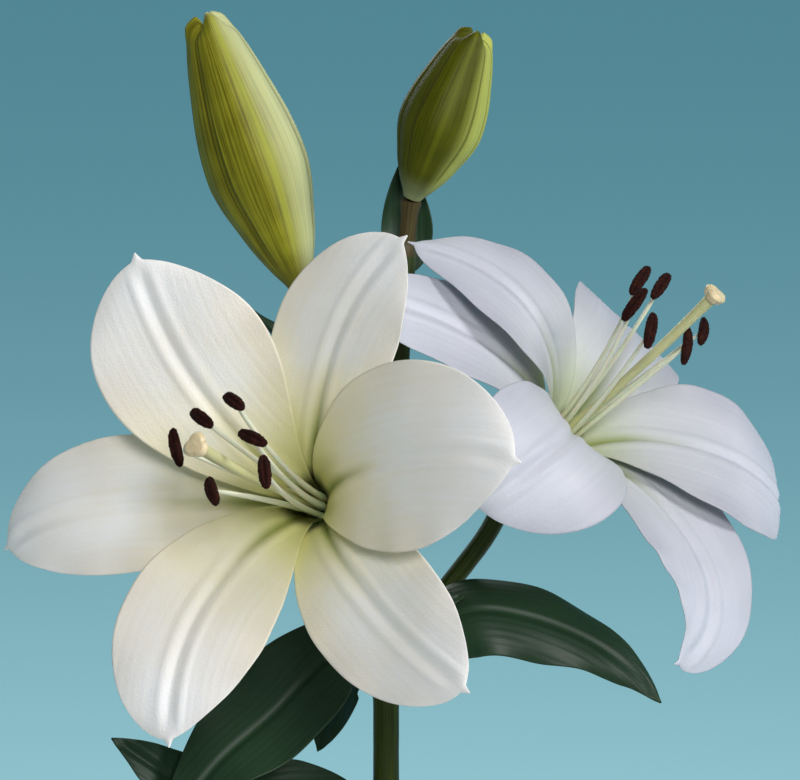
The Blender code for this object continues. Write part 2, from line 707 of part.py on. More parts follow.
def main():
    """Build the whole object."""
    clear_scene()
    where = collection("lilies_in_a_vase")
    cutters = collection("cutters")
    make_vase(finish("glazed_ceramic", (0.62, 0.6, 0.55), 0.35), where)
    make_water(finish("water", (0.6, 0.75, 0.75), 0.05), where, cutters)
    make_plant(where)


main()
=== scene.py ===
"""The looks of the lilies in a vase: fine petals, pollen, ribbed stalks, veined leaves and a
glazed vase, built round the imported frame."""

import math

import bmesh
import bpy
import numpy as np
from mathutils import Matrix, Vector


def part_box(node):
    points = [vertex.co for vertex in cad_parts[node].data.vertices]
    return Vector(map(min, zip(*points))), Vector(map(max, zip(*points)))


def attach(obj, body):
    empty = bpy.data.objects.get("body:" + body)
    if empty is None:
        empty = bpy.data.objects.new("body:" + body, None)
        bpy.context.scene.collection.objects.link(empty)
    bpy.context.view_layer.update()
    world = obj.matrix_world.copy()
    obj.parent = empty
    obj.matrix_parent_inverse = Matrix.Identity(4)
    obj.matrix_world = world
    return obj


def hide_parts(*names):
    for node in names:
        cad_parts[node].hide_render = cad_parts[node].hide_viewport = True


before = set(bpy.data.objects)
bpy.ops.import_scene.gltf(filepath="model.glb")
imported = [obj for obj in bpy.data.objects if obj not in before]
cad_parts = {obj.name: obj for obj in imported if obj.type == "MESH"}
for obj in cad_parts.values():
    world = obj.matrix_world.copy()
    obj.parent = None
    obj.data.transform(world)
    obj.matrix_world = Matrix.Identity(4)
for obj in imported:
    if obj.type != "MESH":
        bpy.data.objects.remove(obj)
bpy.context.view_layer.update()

MM = 0.001
GAP = 0.3 * MM

# ---- sizes that part.py shares

STEM_DIAMETER = 9.3 * MM
STEM_TOP_DIAMETER = 6.4 * MM
FLOWER_STALK_DIAMETER = 7 * MM
BUD_STALK_DIAMETER = 6.2 * MM
FOOT_MARGIN = 6 * MM
STEM_LINE = ((0, 0, 45), (0, 0, 85), (3, 2, 125), (5, 5, 170), (7, 8, 211))

FOOT_RADIUS = 39 * MM
BELLY_RADIUS = 52 * MM
BELLY_HEIGHT = 76 * MM
NECK_RADIUS = 22.5 * MM
NECK_BELOW_RIM = 18 * MM
LIP_RADIUS = 28 * MM
VASE_WALL = 4 * MM
VASE_FLOOR = 7 * MM
FOOT_CHAMFER = 2 * MM
THROWING_PITCH = 5.5 * MM
THROWING_DEPTH = 0.12 * MM
TURNING_RAIL = 20 * MM

INNER_RING = 5.3 * MM
OUTER_RING = 7.0 * MM
RECEPTACLE_LENGTH = 12 * MM
RECEPTACLE_MARGIN = 0.7 * MM
INNER_CLAW_ANGLE = 58
OUTER_CLAW_ANGLE = 47
CLAW_CLEARANCE = 3
INNER_LENGTH = 109 * MM
OUTER_LENGTH = 112 * MM
INNER_WIDTH = 60 * MM
OUTER_WIDTH = 48 * MM
WIDEST_AT = 0.52
CLAW = 0.3
CLAW_SPREAD = 0.9
BLUNT = 2.3
ROUND_TIP = 0.68
POINT_WIDTH = 0.035
TURNED_TIP = 0.84
NARROWING = (0.3, 0.95)
FURROW_DEPTH = 0.9 * MM
FURROW_WIDTH = 1.7 * MM
TEPAL_CUP = (12, 0, -15)

STAMEN_RING = 3.5 * MM
ANTHER_LENGTH = 14 * MM
ANTHER_WIDTH = 4.5 * MM
ANTHER_DEPTH = 3.6 * MM
OVARY_RADIUS = 2.1 * MM
OVARY_LENGTH = 22 * MM
STYLE_RADIUS = 1.75 * MM
STIGMA_RADIUS = 4.0 * MM

LARGE_BUD_LENGTH = 108 * MM
LARGE_BUD_RADIUS = 18.5 * MM
SMALL_BUD_LENGTH = 66.5 * MM
SMALL_BUD_RADIUS = 15.2 * MM
BUD_BASE_RADIUS = 3.8 * MM
BUD_STAGES = (0, 0.03, 0.08, 0.17, 0.26, 0.34, 0.43, 0.51, 0.6, 0.7, 0.8, 0.89, 0.94, 0.97, 1)
BUD_GIRTHS = (0.2, 0.27, 0.42, 0.64, 0.8, 0.93, 1, 0.98, 0.91, 0.79, 0.655, 0.505, 0.41, 0.31, 0)

LEAF_BASE_WIDTH = 7 * MM
LEAF_WIDEST = 0.72

# ---- sizes of the finer detail

TEPAL_ROWS = 120
POINT_ROWS = 14
POINT_LENGTH = 0.025
TEPAL_COLUMNS = 90
RUFFLE_PITCH = 24 * MM
RUFFLE_DEPTH = 0.35 * MM
VEIN_PITCH = 3.2 * MM
VEIN_DEPTH = 0.016 * MM
RIDGE_HEIGHT = 0.4 * MM
TROUGH_DEPTH = 0.5 * MM
TROUGH_WIDTH = 9 * MM
TEPAL_THICKNESS = 1 * MM
POLLEN_RADIUS = 0.19 * MM
POLLEN_PER_SQUARE_METRE = 2.6e6
LEAF_ROWS = 120
LEAF_COLUMNS = 60
LEAF_THICKNESS = 0.9 * MM
LEAF_EDGE_THICKNESS = 0.4 * MM
LEAF_WAVE_PITCH = 31 * MM
LEAF_WAVE_HEIGHT = 0.9 * MM
LEAF_VEIN_PITCH = 2.6 * MM
LEAF_VEIN_DEPTH = 0.035 * MM
MIDRIB_DEPTH = 0.9 * MM
MIDRIB_WIDTH = 1.6 * MM

# Places read from the frame: the rim's height and the line of the upright stem
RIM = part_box("vase")[1].z
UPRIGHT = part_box("stem")[0].y + STEM_DIAMETER / 2


# ---- arithmetic on nodes


def operator(operation, turned=False):
    """An operator of wires that adds a Math node, with its two sides turned round or not."""
    return lambda wire, other: wire.math(operation, other, turned=turned)


class Wire:
    """A node's output that takes part in Python arithmetic, adding Math nodes."""

    def __init__(self, tree, socket):
        self.tree = tree
        self.socket = socket

    def math(self, operation, *others, turned=False):
        """A Math node on this wire and the others, in this order or the other way round."""
        made = self.tree.nodes.new("ShaderNodeMath")
        made.operation = operation
        values = (self, *others)
        for socket, value in zip(made.inputs, values[::-1] if turned else values):
            plug(self.tree, socket, value)
        return Wire(self.tree, made.outputs[0])

    __add__ = __radd__ = operator("ADD")
    __sub__ = operator("SUBTRACT")
    __rsub__ = operator("SUBTRACT", turned=True)
    __mul__ = __rmul__ = operator("MULTIPLY")
    __truediv__ = operator("DIVIDE")
    __pow__ = operator("POWER")

    def __abs__(self):
        return self.math("ABSOLUTE")

    def step(self, low, high):
        """0 below low, 1 above high, an S-curve between."""
        made = self.tree.nodes.new("ShaderNodeMapRange")
        made.interpolation_type = "SMOOTHSTEP"
        plug(self.tree, made.inputs["Value"], self)
        made.inputs["From Min"].default_value = low
        made.inputs["From Max"].default_value = high
        return Wire(self.tree, made.outputs[0])

    def bell(self, width):
        """1 where this is 0, falling away over this width on either side."""
        share = self / width
        return (share * share * -1).math("EXPONENT")


def plug(tree, socket, value):
    """Link a wire to a socket, or set the socket's value."""
    if isinstance(value, Wire):
        tree.links.new(value.socket, socket)
    elif hasattr(socket.default_value, "__len__") and len(socket.default_value) == 4:
        socket.default_value = (*value[:3], 1)
    else:
        socket.default_value = value


class Nodes:
    """A node tree under construction, for a material or for a geometry modifier."""

    def __init__(self, tree):
        self.tree = tree

    def node(self, kind, settings, inputs, output=0):
        """A node with its settings made first, then its inputs, by name or number."""
        made = self.tree.nodes.new(kind)
        for key, value in settings.items():
            setattr(made, key, value)
        for key, value in inputs.items():
            plug(self.tree, made.inputs[key], value)
        return Wire(self.tree, made.outputs[output])

    def vector(self, x, y, z):
        """A vector from three numbers or wires."""
        return self.node("ShaderNodeCombineXYZ", {}, {0: x, 1: y, 2: z})


class Finish(Nodes):
    """A procedural material. Its constants are set on the Principled shader itself."""

    def __init__(self, name, **constants):
        self.material = bpy.data.materials.new(name)
        self.material.use_nodes = True
        super().__init__(self.material.node_tree)
        self.shader = self.tree.nodes["Principled BSDF"]
        for key, value in constants.items():
            plug(self.tree, self.shader.inputs[key.replace("_", " ")], value)

    def paint(self, name, value):
        """Feed one of the shader's inputs."""
        plug(self.tree, self.shader.inputs[name], value)

    def attribute(self, name):
        """A number that the mesh carries."""
        return self.node("ShaderNodeAttribute", {"attribute_name": name}, {}, "Fac")

    def place(self):
        """Object coordinates, in metres."""
        return self.node("ShaderNodeTexCoord", {}, {}, "Object")

    def split(self, vector):
        """The three numbers of a vector."""
        made = self.tree.nodes.new("ShaderNodeSeparateXYZ")
        self.tree.links.new(vector.socket, made.inputs[0])
        return [Wire(self.tree, socket) for socket in made.outputs]

    def noise(self, scale, detail=2.0, rough=0.5, where=None):
        """Soft noise from 0 to 1, in object coordinates or in the space of another vector."""
        inputs = {"Vector": where or self.place(), "Scale": scale, "Detail": detail, "Roughness": rough}
        return self.node("ShaderNodeTexNoise", {}, inputs, "Fac")

    def streaks(self, x, y, z, detail=2.0, rough=0.5):
        """Soft noise that these three numbers stretch."""
        return self.noise(1.0, detail, rough, self.vector(x, y, z))

    def cells(self, scale):
        """Distance to the nearest of a scatter of points."""
        return self.node("ShaderNodeTexVoronoi", {}, {"Vector": self.place(), "Scale": scale})

    def mix(self, share, first, second):
        """One colour turning into another."""
        made = self.tree.nodes.new("ShaderNodeMix")
        made.data_type = "RGBA"
        for index, value in ((0, share), (6, first), (7, second)):
            plug(self.tree, made.inputs[index], value)
        return Wire(self.tree, made.outputs[2])

    def layers(self, colour, *coats):
        """The base colour: one colour with others laid over it, each by its share."""
        for share, coat in coats:
            colour = self.mix(share, colour, coat)
        self.paint("Base Color", colour)

    def bump(self, height, depth, strength=1.0):
        """Relief: height from 0 to 1 stands for this depth in metres."""
        inputs = {"Strength": strength, "Distance": depth, "Height": height}
        self.paint("Normal", self.node("ShaderNodeBump", {}, inputs, "Normal"))


# ---- numbers and curves


def unit(vector):
    """A vector of length 1 with this direction, as an array."""
    vector = np.asarray(vector, float)
    return vector / np.linalg.norm(vector)


def smooth(value, low, high):
    """0 below low, 1 above high and an S-curve between them."""
    share = np.clip((np.asarray(value, float) - low) / (high - low), 0, 1)
    return share * share * (3 - 2 * share)


def fading(value, start, full, wane, end):
    """0 before start and after end, 1 between full and wane, and S-curves between."""
    return smooth(value, start, full) * (1 - smooth(value, wane, end))


def hump(value, middle, width):
    """A bell of height 1."""
    return np.exp(-(((value - middle) / width) ** 2))


def arc(half, bend, place):
    """Across and up to a place from -1 to 1 on a section of this half-width, bent to an arc."""
    return half / bend * np.sin(bend * place), half / bend * (1 - np.cos(bend * place))


def cubic_through(values, share):
    """The cubic through four values at 0, 1/3, 2/3 and 1 of the way."""
    knots = np.linspace(0, 1, len(values))
    total = np.zeros_like(share)
    for index, value in enumerate(values):
        term = np.full_like(share, float(value))
        for other, knot in enumerate(knots):
            if other != index:
                term = term * (share - knot) / (knots[index] - knot)
        total = total + term
    return total


def smooth_path(points, step):
    """A Catmull-Rom curve through the points, with a point about every step."""
    points = [np.asarray(point, float) for point in points]
    ends = [2 * points[0] - points[1], *points, 2 * points[-1] - points[-2]]
    path = [points[0]]
    for before, start, end, after in zip(ends, ends[1:], ends[2:], ends[3:]):
        count = max(1, round(np.linalg.norm(end - start) / step))
        for share in np.linspace(0, 1, count + 1)[1:]:
            pull = (
                2 * start
                + (end - before) * share
                + (2 * before - 5 * start + 4 * end - after) * share**2
                + (3 * start - before - 3 * end + after) * share**3
            )
            path.append(pull / 2)
    return np.array(path)


def along(path, shares):
    """Points at these shares of a path's length."""
    steps = np.linalg.norm(np.diff(path, axis=0), axis=1)
    reached = np.concatenate([[0], np.cumsum(steps)])
    reached /= reached[-1]
    return np.stack([np.interp(shares, reached, path[:, axis]) for axis in range(3)], 1)


def plant_point(right, back, up):
    """A point given in millimetres from the upright stem, at the height of the rim."""
    return np.array([right * MM, UPRIGHT + back * MM, RIM + up * MM])


# ---- meshes


def object_of(name, data):
    """An object in the scene that holds this mesh, curve, camera or light."""
    made = bpy.data.objects.new(name, data)
    bpy.context.scene.collection.objects.link(made)
    return made


def link(name, mesh, finish, node):
    """Make the object of a finished piece, riding on the vase's body in a node's place."""
    made = object_of(name, mesh)
    if finish:
        mesh.materials.append(finish.material)
    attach(made, "root")
    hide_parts(node)


def line_of(name, points, radii):
    """A curve of straight stretches through the points, with a radius at each."""
    data = bpy.data.curves.new(name, "CURVE")
    data.dimensions = "3D"
    spline = data.splines.new("POLY")
    spline.points.add(len(points) - 1)
    for made, where, radius in zip(spline.points, points, radii):
        made.co = (*where, 1)
        made.radius = radius
    return data


def carry(mesh, numbers):
    """Put named numbers on a mesh's points."""
    for key, values in numbers.items():
        made = mesh.attributes.new(key, "FLOAT", "POINT")
        made.data.foreach_set("value", np.asarray(values, np.float32))


def mesh_of(name, points, faces, numbers):
    """A smooth mesh that carries the named numbers on its points."""
    mesh = bpy.data.meshes.new(name)
    mesh.from_pydata(points.tolist(), [], faces)
    carry(mesh, numbers)
    mesh.shade_smooth()
    mesh.update()
    return mesh


def outward(mesh):
    """Turn every face of a closed mesh to point out."""
    check = bmesh.new()
    check.from_mesh(mesh)
    bmesh.ops.recalc_face_normals(check, faces=check.faces)
    check.to_mesh(mesh)
    check.free()


def quads(rows, columns, first=0, turned=False):
    """Faces between the points of a grid, in rows."""
    faces = []
    for row in range(rows - 1):
        for column in range(columns - 1):
            a = first + row * columns + column
            face = (a, a + columns, a + columns + 1, a + 1)
            faces.append(face[::-1] if turned else face)
    return faces


def blade(name, middle, thick, shares, places, aside, reach):
    """A closed thin blade about a grid of points, with the numbers that its finish reads:
    shares along it, places across it, and how far it reaches aside and along, in metres."""
    rows, columns = middle.shape[:2]
    count = rows * columns
    normal = np.cross(np.gradient(middle, axis=0), np.gradient(middle, axis=1))
    normal = normal / np.maximum(np.linalg.norm(normal, axis=2, keepdims=True), 1e-12)
    push = normal * (thick / 2)[..., None]
    points = np.concatenate([(middle + push).reshape(-1, 3), (middle - push).reshape(-1, 3)])
    faces = quads(rows, columns) + quads(rows, columns, count, turned=True)
    rim = list(range(columns))
    rim += [row * columns + columns - 1 for row in range(1, rows)]
    rim += [(rows - 1) * columns + column for column in range(columns - 2, -1, -1)]
    rim += [row * columns for row in range(rows - 2, 0, -1)]
    for start, end in zip(rim, rim[1:] + rim[:1]):
        faces.append((start, end, end + count, start + count))
    numbers = {
        "along": np.tile(np.repeat(shares, columns), 2),
        "across": np.tile(np.tile(places, rows), 2),
        "under": np.repeat([0.0, 1.0], count),
        "aside": np.tile(aside.ravel(), 2),
        "reach": np.tile(reach.ravel(), 2),
    }
    mesh = mesh_of(name, points, faces, numbers)
    outward(mesh)
    return mesh


def ring_faces(rows, sides):
    """Faces between closed rings of points, one ring after another."""
    faces = []
    for row in range(rows - 1):
        for side in range(sides):
            a, b = row * sides + side, row * sides + (side + 1) % sides
            faces.append((a, b, b + sides, a + sides))
    return faces


def pod(name, rule, rings, sides):
    """A closed pod from a rule that takes a share along it and an angle round it."""
    shares = (1 - np.cos(np.linspace(0, math.pi, rings + 1)[1:-1])) / 2
    turns = np.linspace(0, 2 * math.pi, sides, endpoint=False)
    share, turn = (grid.ravel() for grid in np.meshgrid(shares, turns, indexing="ij"))
    ends = rule(np.array([0.0, 1.0]), np.zeros(2))
    points = np.concatenate([rule(share, turn), ends])
    rows = rings - 1
    faces = ring_faces(rows, sides)
    low, high = rows * sides, rows * sides + 1
    for side in range(sides):
        after = (side + 1) % sides
        faces.append((low, after, side))
        faces.append((high, (rows - 1) * sides + side, (rows - 1) * sides + after))
    numbers = {
        "along": np.concatenate([share, [0, 1]]),
        "around": np.concatenate([turn / (2 * math.pi), [0, 0]]),
    }
    mesh = mesh_of(name, points, faces, numbers)
    outward(mesh)
    return mesh


# ---- geometry nodes


class Growth(Nodes):
    """A geometry node tree with named inputs, run on a mesh or a curve."""

    def __init__(self, name, inputs):
        super().__init__(bpy.data.node_groups.new(name, "GeometryNodeTree"))
        face = self.tree.interface
        face.new_socket("Geometry", in_out="INPUT", socket_type="NodeSocketGeometry")
        self.names = {}
        for label, kind in inputs.items():
            made = face.new_socket(label, in_out="INPUT", socket_type="NodeSocket" + kind)
            self.names[label] = made.identifier
        face.new_socket("Geometry", in_out="OUTPUT", socket_type="NodeSocketGeometry")
        self.start = self.tree.nodes.new("NodeGroupInput")

    def given(self, label="Geometry"):
        """The wire of one of the tree's inputs."""
        return Wire(self.tree, self.start.outputs[label])

    def stored(self, geometry, kind, name, value):
        """The geometry with this value kept on its points under a name."""
        settings = {"data_type": kind, "domain": "POINT"}
        inputs = {"Geometry": geometry, "Name": name, "Value": value}
        return self.node("GeometryNodeStoreNamedAttribute", settings, inputs)

    def pushed(self, geometry, way, far):
        """The geometry with its points moved this far along a vector."""
        push = self.node("ShaderNodeVectorMath", {"operation": "SCALE"}, {0: way, "Scale": far})
        return self.node("GeometryNodeSetPosition", {}, {"Geometry": geometry, "Offset": push})

    def end(self, geometry, finish, smooth_shaded=True):
        """Realize what the tree made, give it its material and send it out."""
        if smooth_shaded:
            geometry = self.node("GeometryNodeSetShadeSmooth", {}, {"Geometry": geometry})
        whole = self.node("GeometryNodeRealizeInstances", {}, {0: geometry})
        coated = self.node("GeometryNodeSetMaterial", {}, {0: whole})
        self.tree.nodes[-1].inputs["Material"].default_value = finish.material
        out = self.tree.nodes.new("NodeGroupOutput")
        self.tree.links.new(coated.socket, out.inputs[0])

    def grow(self, name, data, values):
        """The plain mesh that the tree makes from this data, with these input values."""
        carrier = object_of(name, data)
        modifier = carrier.modifiers.new(name, "NODES")
        for label, value in values.items():
            modifier[self.names[label]] = value
        modifier.node_group = self.tree
        graph = bpy.context.evaluated_depsgraph_get()
        mesh = bpy.data.meshes.new_from_object(carrier.evaluated_get(graph))
        bpy.data.objects.remove(carrier)
        return mesh


def rod_growth(name, finish):
    """A ribbed, slightly uneven limb along a curve that carries its radii."""
    inputs = {"Sides": "Int", "Ribs": "Float", "Rib depth": "Float"}
    inputs |= {"Unevenness": "Float", "Lump size": "Float"}
    tree = Growth(name, inputs)
    length = tree.node("GeometryNodeSplineParameter", {}, {}, "Length")
    rail = tree.stored(tree.given(), "FLOAT", "along", length)
    circle = {"Resolution": tree.given("Sides"), "Radius": 1.0}
    ring = tree.node("GeometryNodeCurvePrimitiveCircle", {}, circle)
    turn = tree.node("GeometryNodeSplineParameter", {}, {}, "Factor") * (2 * math.pi)
    rib = (turn * tree.given("Ribs")).math("SINE") * tree.given("Rib depth")
    here = tree.node("GeometryNodeInputPosition", {}, {})
    ring = tree.pushed(ring, here, rib)
    ring = tree.stored(ring, "FLOAT_VECTOR", "round", here)
    limb = {"Curve": rail, "Profile Curve": ring, "Fill Caps": True}
    limb["Scale"] = tree.node("GeometryNodeInputRadius", {}, {})
    solid = tree.node("GeometryNodeCurveToMesh", {}, limb)
    lumps = tree.node("ShaderNodeTexNoise", {}, {"Vector": here, "Scale": tree.given("Lump size")})
    lumps = (lumps - 0.5) * tree.given("Unevenness")
    facing = tree.node("GeometryNodeInputNormal", {}, {})
    tree.end(tree.pushed(solid, facing, lumps), finish)
    return tree


def rod(tree, name, path, radii, node, sides, ribs, rib_depth, uneven, lumps):
    """A limb along a path with its radius at each point."""
    values = {"Sides": sides, "Ribs": float(ribs), "Rib depth": rib_depth}
    values |= {"Unevenness": uneven, "Lump size": float(lumps)}
    mesh = tree.grow(name + "_line", line_of(name, path, radii), values)
    link(name, mesh, None, node)


# ---- finishes


def petal_finish(name, light, shade, edge_shade, tip, warm, green):
    """White tepal: softly ribbed, faintly granular, green in the throat and down the furrow, with
    painted shade at the margins and deep in the throat.
    """
    made = Finish(name, Subsurface_Weight=0.12, Subsurface_Scale=0.003, IOR=1.4)
    made.shader.inputs["Subsurface Radius"].default_value = (1.0, 0.85, 0.6)
    aside, reach, under = (made.attribute(name) for name in ("aside", "reach", "under"))
    edge = abs(made.attribute("across"))
    drift = made.noise(38) - 0.5
    veins = made.streaks(aside * 480, reach * 14, 0)
    fine = made.streaks(aside * 1900, reach * 150, 3)
    grains = made.cells(1150)
    throat = (reach + drift * 0.004).step(0.013, 0.005)
    furrow = aside.bell(0.0021) * (reach + drift * 0.02).step(0.056, 0.016)
    back_rib = aside.bell(0.004) * under * (reach + drift * 0.02).step(0.1, 0.03)
    made.layers(
        shade,
        ((veins * 0.6 + drift * 0.8).step(0.1, 0.55), light),
        # Painted shade: the margins, where the tepal turns away from the light, are painted darker, and
        # warmer on the cream flower.
        ((edge + drift * 0.3).step(0.45, 1) * 0.6, edge_shade),
        ((reach + drift * 0.03).step(0.06, 0.1) * 0.6, tip),
        ((reach + drift * 0.03).step(0.07, 0.02) * 0.65, warm),
        ((reach + drift * 0.012).step(0.038, 0.01) * 0.55, green),
        (furrow * 0.8, (0.2, 0.25, 0.03)),
        # Painted shade: the deepest part of the throat is painted nearly black.
        (throat * 0.95, (0.05, 0.055, 0.004)),
        (back_rib * 0.6, (0.34, 0.42, 0.12)),
    )
    made.paint("Roughness", 0.4 + fine * 0.16)
    made.bump(veins * 0.6 + fine * 0.15 - grains * 0.32, 0.00032, 0.5)
    return made


def filament_finish():
    """Pale green-white, greener at its foot."""
    made = Finish("filament_pale", Subsurface_Weight=0.25, Subsurface_Scale=0.002)
    streaks = made.noise(900)
    foot = (made.attribute("along") + streaks * 0.02).step(0.045, 0.004)
    made.layers((0.74, 0.76, 0.6), (foot, (0.4, 0.46, 0.14)))
    made.paint("Roughness", 0.32 + streaks * 0.15)
    made.bump(streaks, 0.0002, 0.4)
    return made


def pistil_finish(name, low, high):
    """The pale green style or the cream-coloured stigma."""
    made = Finish(name, Subsurface_Weight=0.2, Subsurface_Scale=0.002, Coat_Roughness=0.2)
    grain = made.noise(1400, 3)
    made.layers(low, (grain.step(0.2, 0.8), high))
    made.paint("Roughness", 0.25 + grain * 0.3)
    made.bump(grain, 0.0002, 0.4)
    return made


def anther_finish():
    """Anther and pollen: nearly black maroon, warmer on the grains that stand out."""
    made = Finish("anther_pollen", Specular_IOR_Level=0.2)
    speck = made.noise(2600)
    drift = made.noise(350)
    made.layers(
        (0.009, 0.0014, 0.0008),
        (speck.step(0.4, 0.75), (0.055, 0.009, 0.004)),
        (drift.step(0.55, 0.75) * 0.3, (0.12, 0.03, 0.008)),
    )
    made.paint("Roughness", 0.78 + speck * 0.2)
    made.bump(speck, 0.0004, 0.8)
    return made


def stem_finish(name, dark, light, spotted):
    """Smooth green skin with fine lengthwise streaks."""
    made = Finish(name, Specular_IOR_Level=0.25, Coat_Roughness=0.35)
    round_at = made.node("ShaderNodeAttribute", {"attribute_name": "round"}, {}, "Vector")
    x, y, _ = made.split(round_at)
    along_it = made.attribute("along")
    streaks = made.streaks(x * 7, y * 7, along_it * 22, 4, 0.6)
    drift = made.streaks(x, y, along_it * 30)
    made.layers(dark, (streaks.step(0.3, 0.7), light), (drift.step(0.5, 0.8) * 0.4, spotted))
    made.paint("Roughness", 0.38 + streaks * 0.2)
    made.paint("Coat Weight", 0.03 + drift * 0.07)
    made.bump(streaks, 0.0003, 0.5)
    return made


def leaf_finish():
    """Dark waxy green with fine parallel veins, paler underneath, and paler down the midrib, partly its
    own colour and partly a painted highlight.
    """
    made = Finish("leaf_green", Specular_IOR_Level=0.2, Coat_Roughness=0.35)
    aside, reach, under = (made.attribute(name) for name in ("aside", "reach", "under"))
    veins = made.streaks(aside * 1100, reach * 9, 0)
    drift = made.noise(35, 3)
    made.layers(
        (0.006, 0.021, 0.006),
        (veins.step(0.25, 0.75), (0.01, 0.034, 0.011)),
        (drift.step(0.45, 0.75) * 0.35, (0.014, 0.042, 0.016)),
        # The midrib: partly its own paler green and partly a painted highlight.
        (aside.bell(0.0008) * 0.25, (0.03, 0.07, 0.025)),
        (under * 0.4, (0.03, 0.065, 0.035)),
    )
    made.paint("Roughness", 0.36 + veins * 0.14)
    made.paint("Coat Weight", 0.02 + drift * 0.08)
    made.bump(veins, 0.0002, 0.4)
    return made


def bud_finish(name, dark, light, lit_side_paint, keel, foot):
    """Closed tepals: softly ribbed green, with painted shade along the seams, bright along each keel,
    and their right side painted paler as painted light where the key light falls.
    """
    made = Finish(name, Specular_IOR_Level=0.15)
    seam, ridge = made.attribute("seam"), made.attribute("keel")
    side, up, pale = made.attribute("side"), made.attribute("along"), made.attribute("pale")
    drift = made.noise(70, 3)
    streaks = made.streaks(side * 22, up * 2.4, 0)
    made.layers(
        dark,
        ((streaks * 0.7 + drift * 0.3).step(0.3, 0.7), light),
        # Painted light: the right side, which faces the key light, is painted paler.
        (pale * (0.55 + streaks * 0.35), lit_side_paint),
        (ridge * 0.55 * up.step(0.05, 0.25), keel),
        # Painted shade: the seam grooves between the tepals are painted dark.
        (seam * 0.8, (0.05, 0.05, 0.006)),
        (up.step(0.16, 0.0) * 0.8, foot),
    )
    made.paint("Roughness", 0.44 + streaks * 0.18)
    made.bump(streaks * 0.6 + drift * 0.4, 0.0004, 0.45)
    return made


def glaze_finish():
    """Pale stoneware glaze: speckled, thinner and warmer at the lip, bare at the foot."""
    made = Finish("vase_glaze", Coat_Roughness=0.08, IOR=1.5)
    height = made.split(made.place())[2]
    drift = made.noise(22, 4)
    bands = made.streaks(0, 0, height * 420)
    specks = made.cells(210).step(0.16, 0.06) * made.noise(90).step(0.5, 0.6)
    bare = (height + drift * 0.003).step(0.008, 0.0045)
    made.layers(
        (0.56, 0.57, 0.53),
        (drift.step(0.3, 0.7), (0.66, 0.66, 0.61)),
        (bands.step(0.4, 0.8) * 0.25, (0.5, 0.5, 0.45)),
        (height.step(RIM - 0.006, RIM - 0.001) * 0.6, (0.42, 0.33, 0.22)),
        (specks * 0.7, (0.14, 0.1, 0.06)),
        (bare, (0.42, 0.3, 0.2)),
    )
    made.paint("Roughness", 0.22 + drift * 0.12 + bare * 0.5)
    made.paint("Coat Weight", 0.6 - bare * 0.6)
    made.bump(bands * 0.6 + drift * 0.4, 0.0005, 0.5)
    return made


def water_finish():
    """Clear water with the faintest green."""
    made = Finish("water", Transmission_Weight=0.95, IOR=1.33)
    cloud = made.noise(30, 3)
    made.layers((0.75, 0.88, 0.82), (cloud, (0.86, 0.95, 0.9)))
    made.paint("Roughness", 0.02 + cloud * 0.03)
    return made


# ---- the vase


def vase_radius(height):
    """The vase's outer radius at a height."""
    neck_height = RIM - NECK_BELOW_RIM
    if height <= BELLY_HEIGHT:
        rise = math.sin(math.pi / 2 * height / BELLY_HEIGHT)
        return FOOT_RADIUS + (BELLY_RADIUS - FOOT_RADIUS) * rise
    if height <= neck_height:
        turn = math.pi * (height - BELLY_HEIGHT) / (neck_height - BELLY_HEIGHT)
        return NECK_RADIUS + (BELLY_RADIUS - NECK_RADIUS) * (1 + math.cos(turn)) / 2
    return NECK_RADIUS + (LIP_RADIUS - NECK_RADIUS) * ((height - neck_height) / NECK_BELOW_RIM) ** 2


def vase_profile():
    """Half of the vase's section, from the middle of the floor up, over the lip and down."""
    lip = VASE_WALL / 2
    top = RIM - lip
    rings = 2 * math.pi / THROWING_PITCH
    inner = []
    for height in np.linspace(VASE_FLOOR, top, 70):
        ring = THROWING_DEPTH * math.sin(rings * height) * smooth(height, VASE_FLOOR, 0.02)
        inner.append((vase_radius(height) - VASE_WALL + ring, height))
    middle = vase_radius(top) - lip
    over = [
        (middle - lip * math.cos(turn), top + lip * math.sin(turn))
        for turn in np.linspace(0, math.pi, 11)[1:-1]
    ]
    outer = []
    for height in np.linspace(top, FOOT_CHAMFER, 90):
        ring = THROWING_DEPTH * math.sin(rings * height + 1) * smooth(height, 0.004, 0.02)
        outer.append((vase_radius(height) + ring * 0.6, height))
    edge = outer[-1][0] - FOOT_CHAMFER
    foot = [
        (edge + FOOT_CHAMFER * math.cos(turn), FOOT_CHAMFER * (1 - math.sin(turn)))
        for turn in np.linspace(0, math.pi / 2, 6)[1:]
    ]
    return [(0, VASE_FLOOR), *inner, *over, *outer, *foot, (0, 0)]


def turning_growth(finish):
    """A section turned about the upright axis."""
    tree = Growth("turning", {"Steps": "Int", "Rail": "Float"})
    rail = {"Resolution": tree.given("Steps"), "Radius": tree.given("Rail")}
    rail = tree.node("GeometryNodeCurvePrimitiveCircle", {}, rail)
    shape = {"Curve": rail, "Profile Curve": tree.given()}
    solid = tree.node("GeometryNodeCurveToMesh", {}, shape)
    solid = tree.node("GeometryNodeMergeByDistance", {}, {"Geometry": solid, "Distance": GAP / 20})
    tree.end(solid, finish)
    return tree


def make_vase():
    """The thrown and glazed vase, and the look of the water in it."""
    section = [(radius - TURNING_RAIL, -height, 0) for radius, height in vase_profile()]
    data = line_of("vase_section", section, np.ones(len(section)))
    values = {"Steps": 144, "Rail": TURNING_RAIL}
    mesh = turning_growth(glaze_finish()).grow("vase_turning", data, values)
    outward(mesh)
    link("vase_body", mesh, None, "vase")
    finish = water_finish()
    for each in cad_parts["water"].material_slots:
        each.material = finish.material


# ---- the stem and the stalks


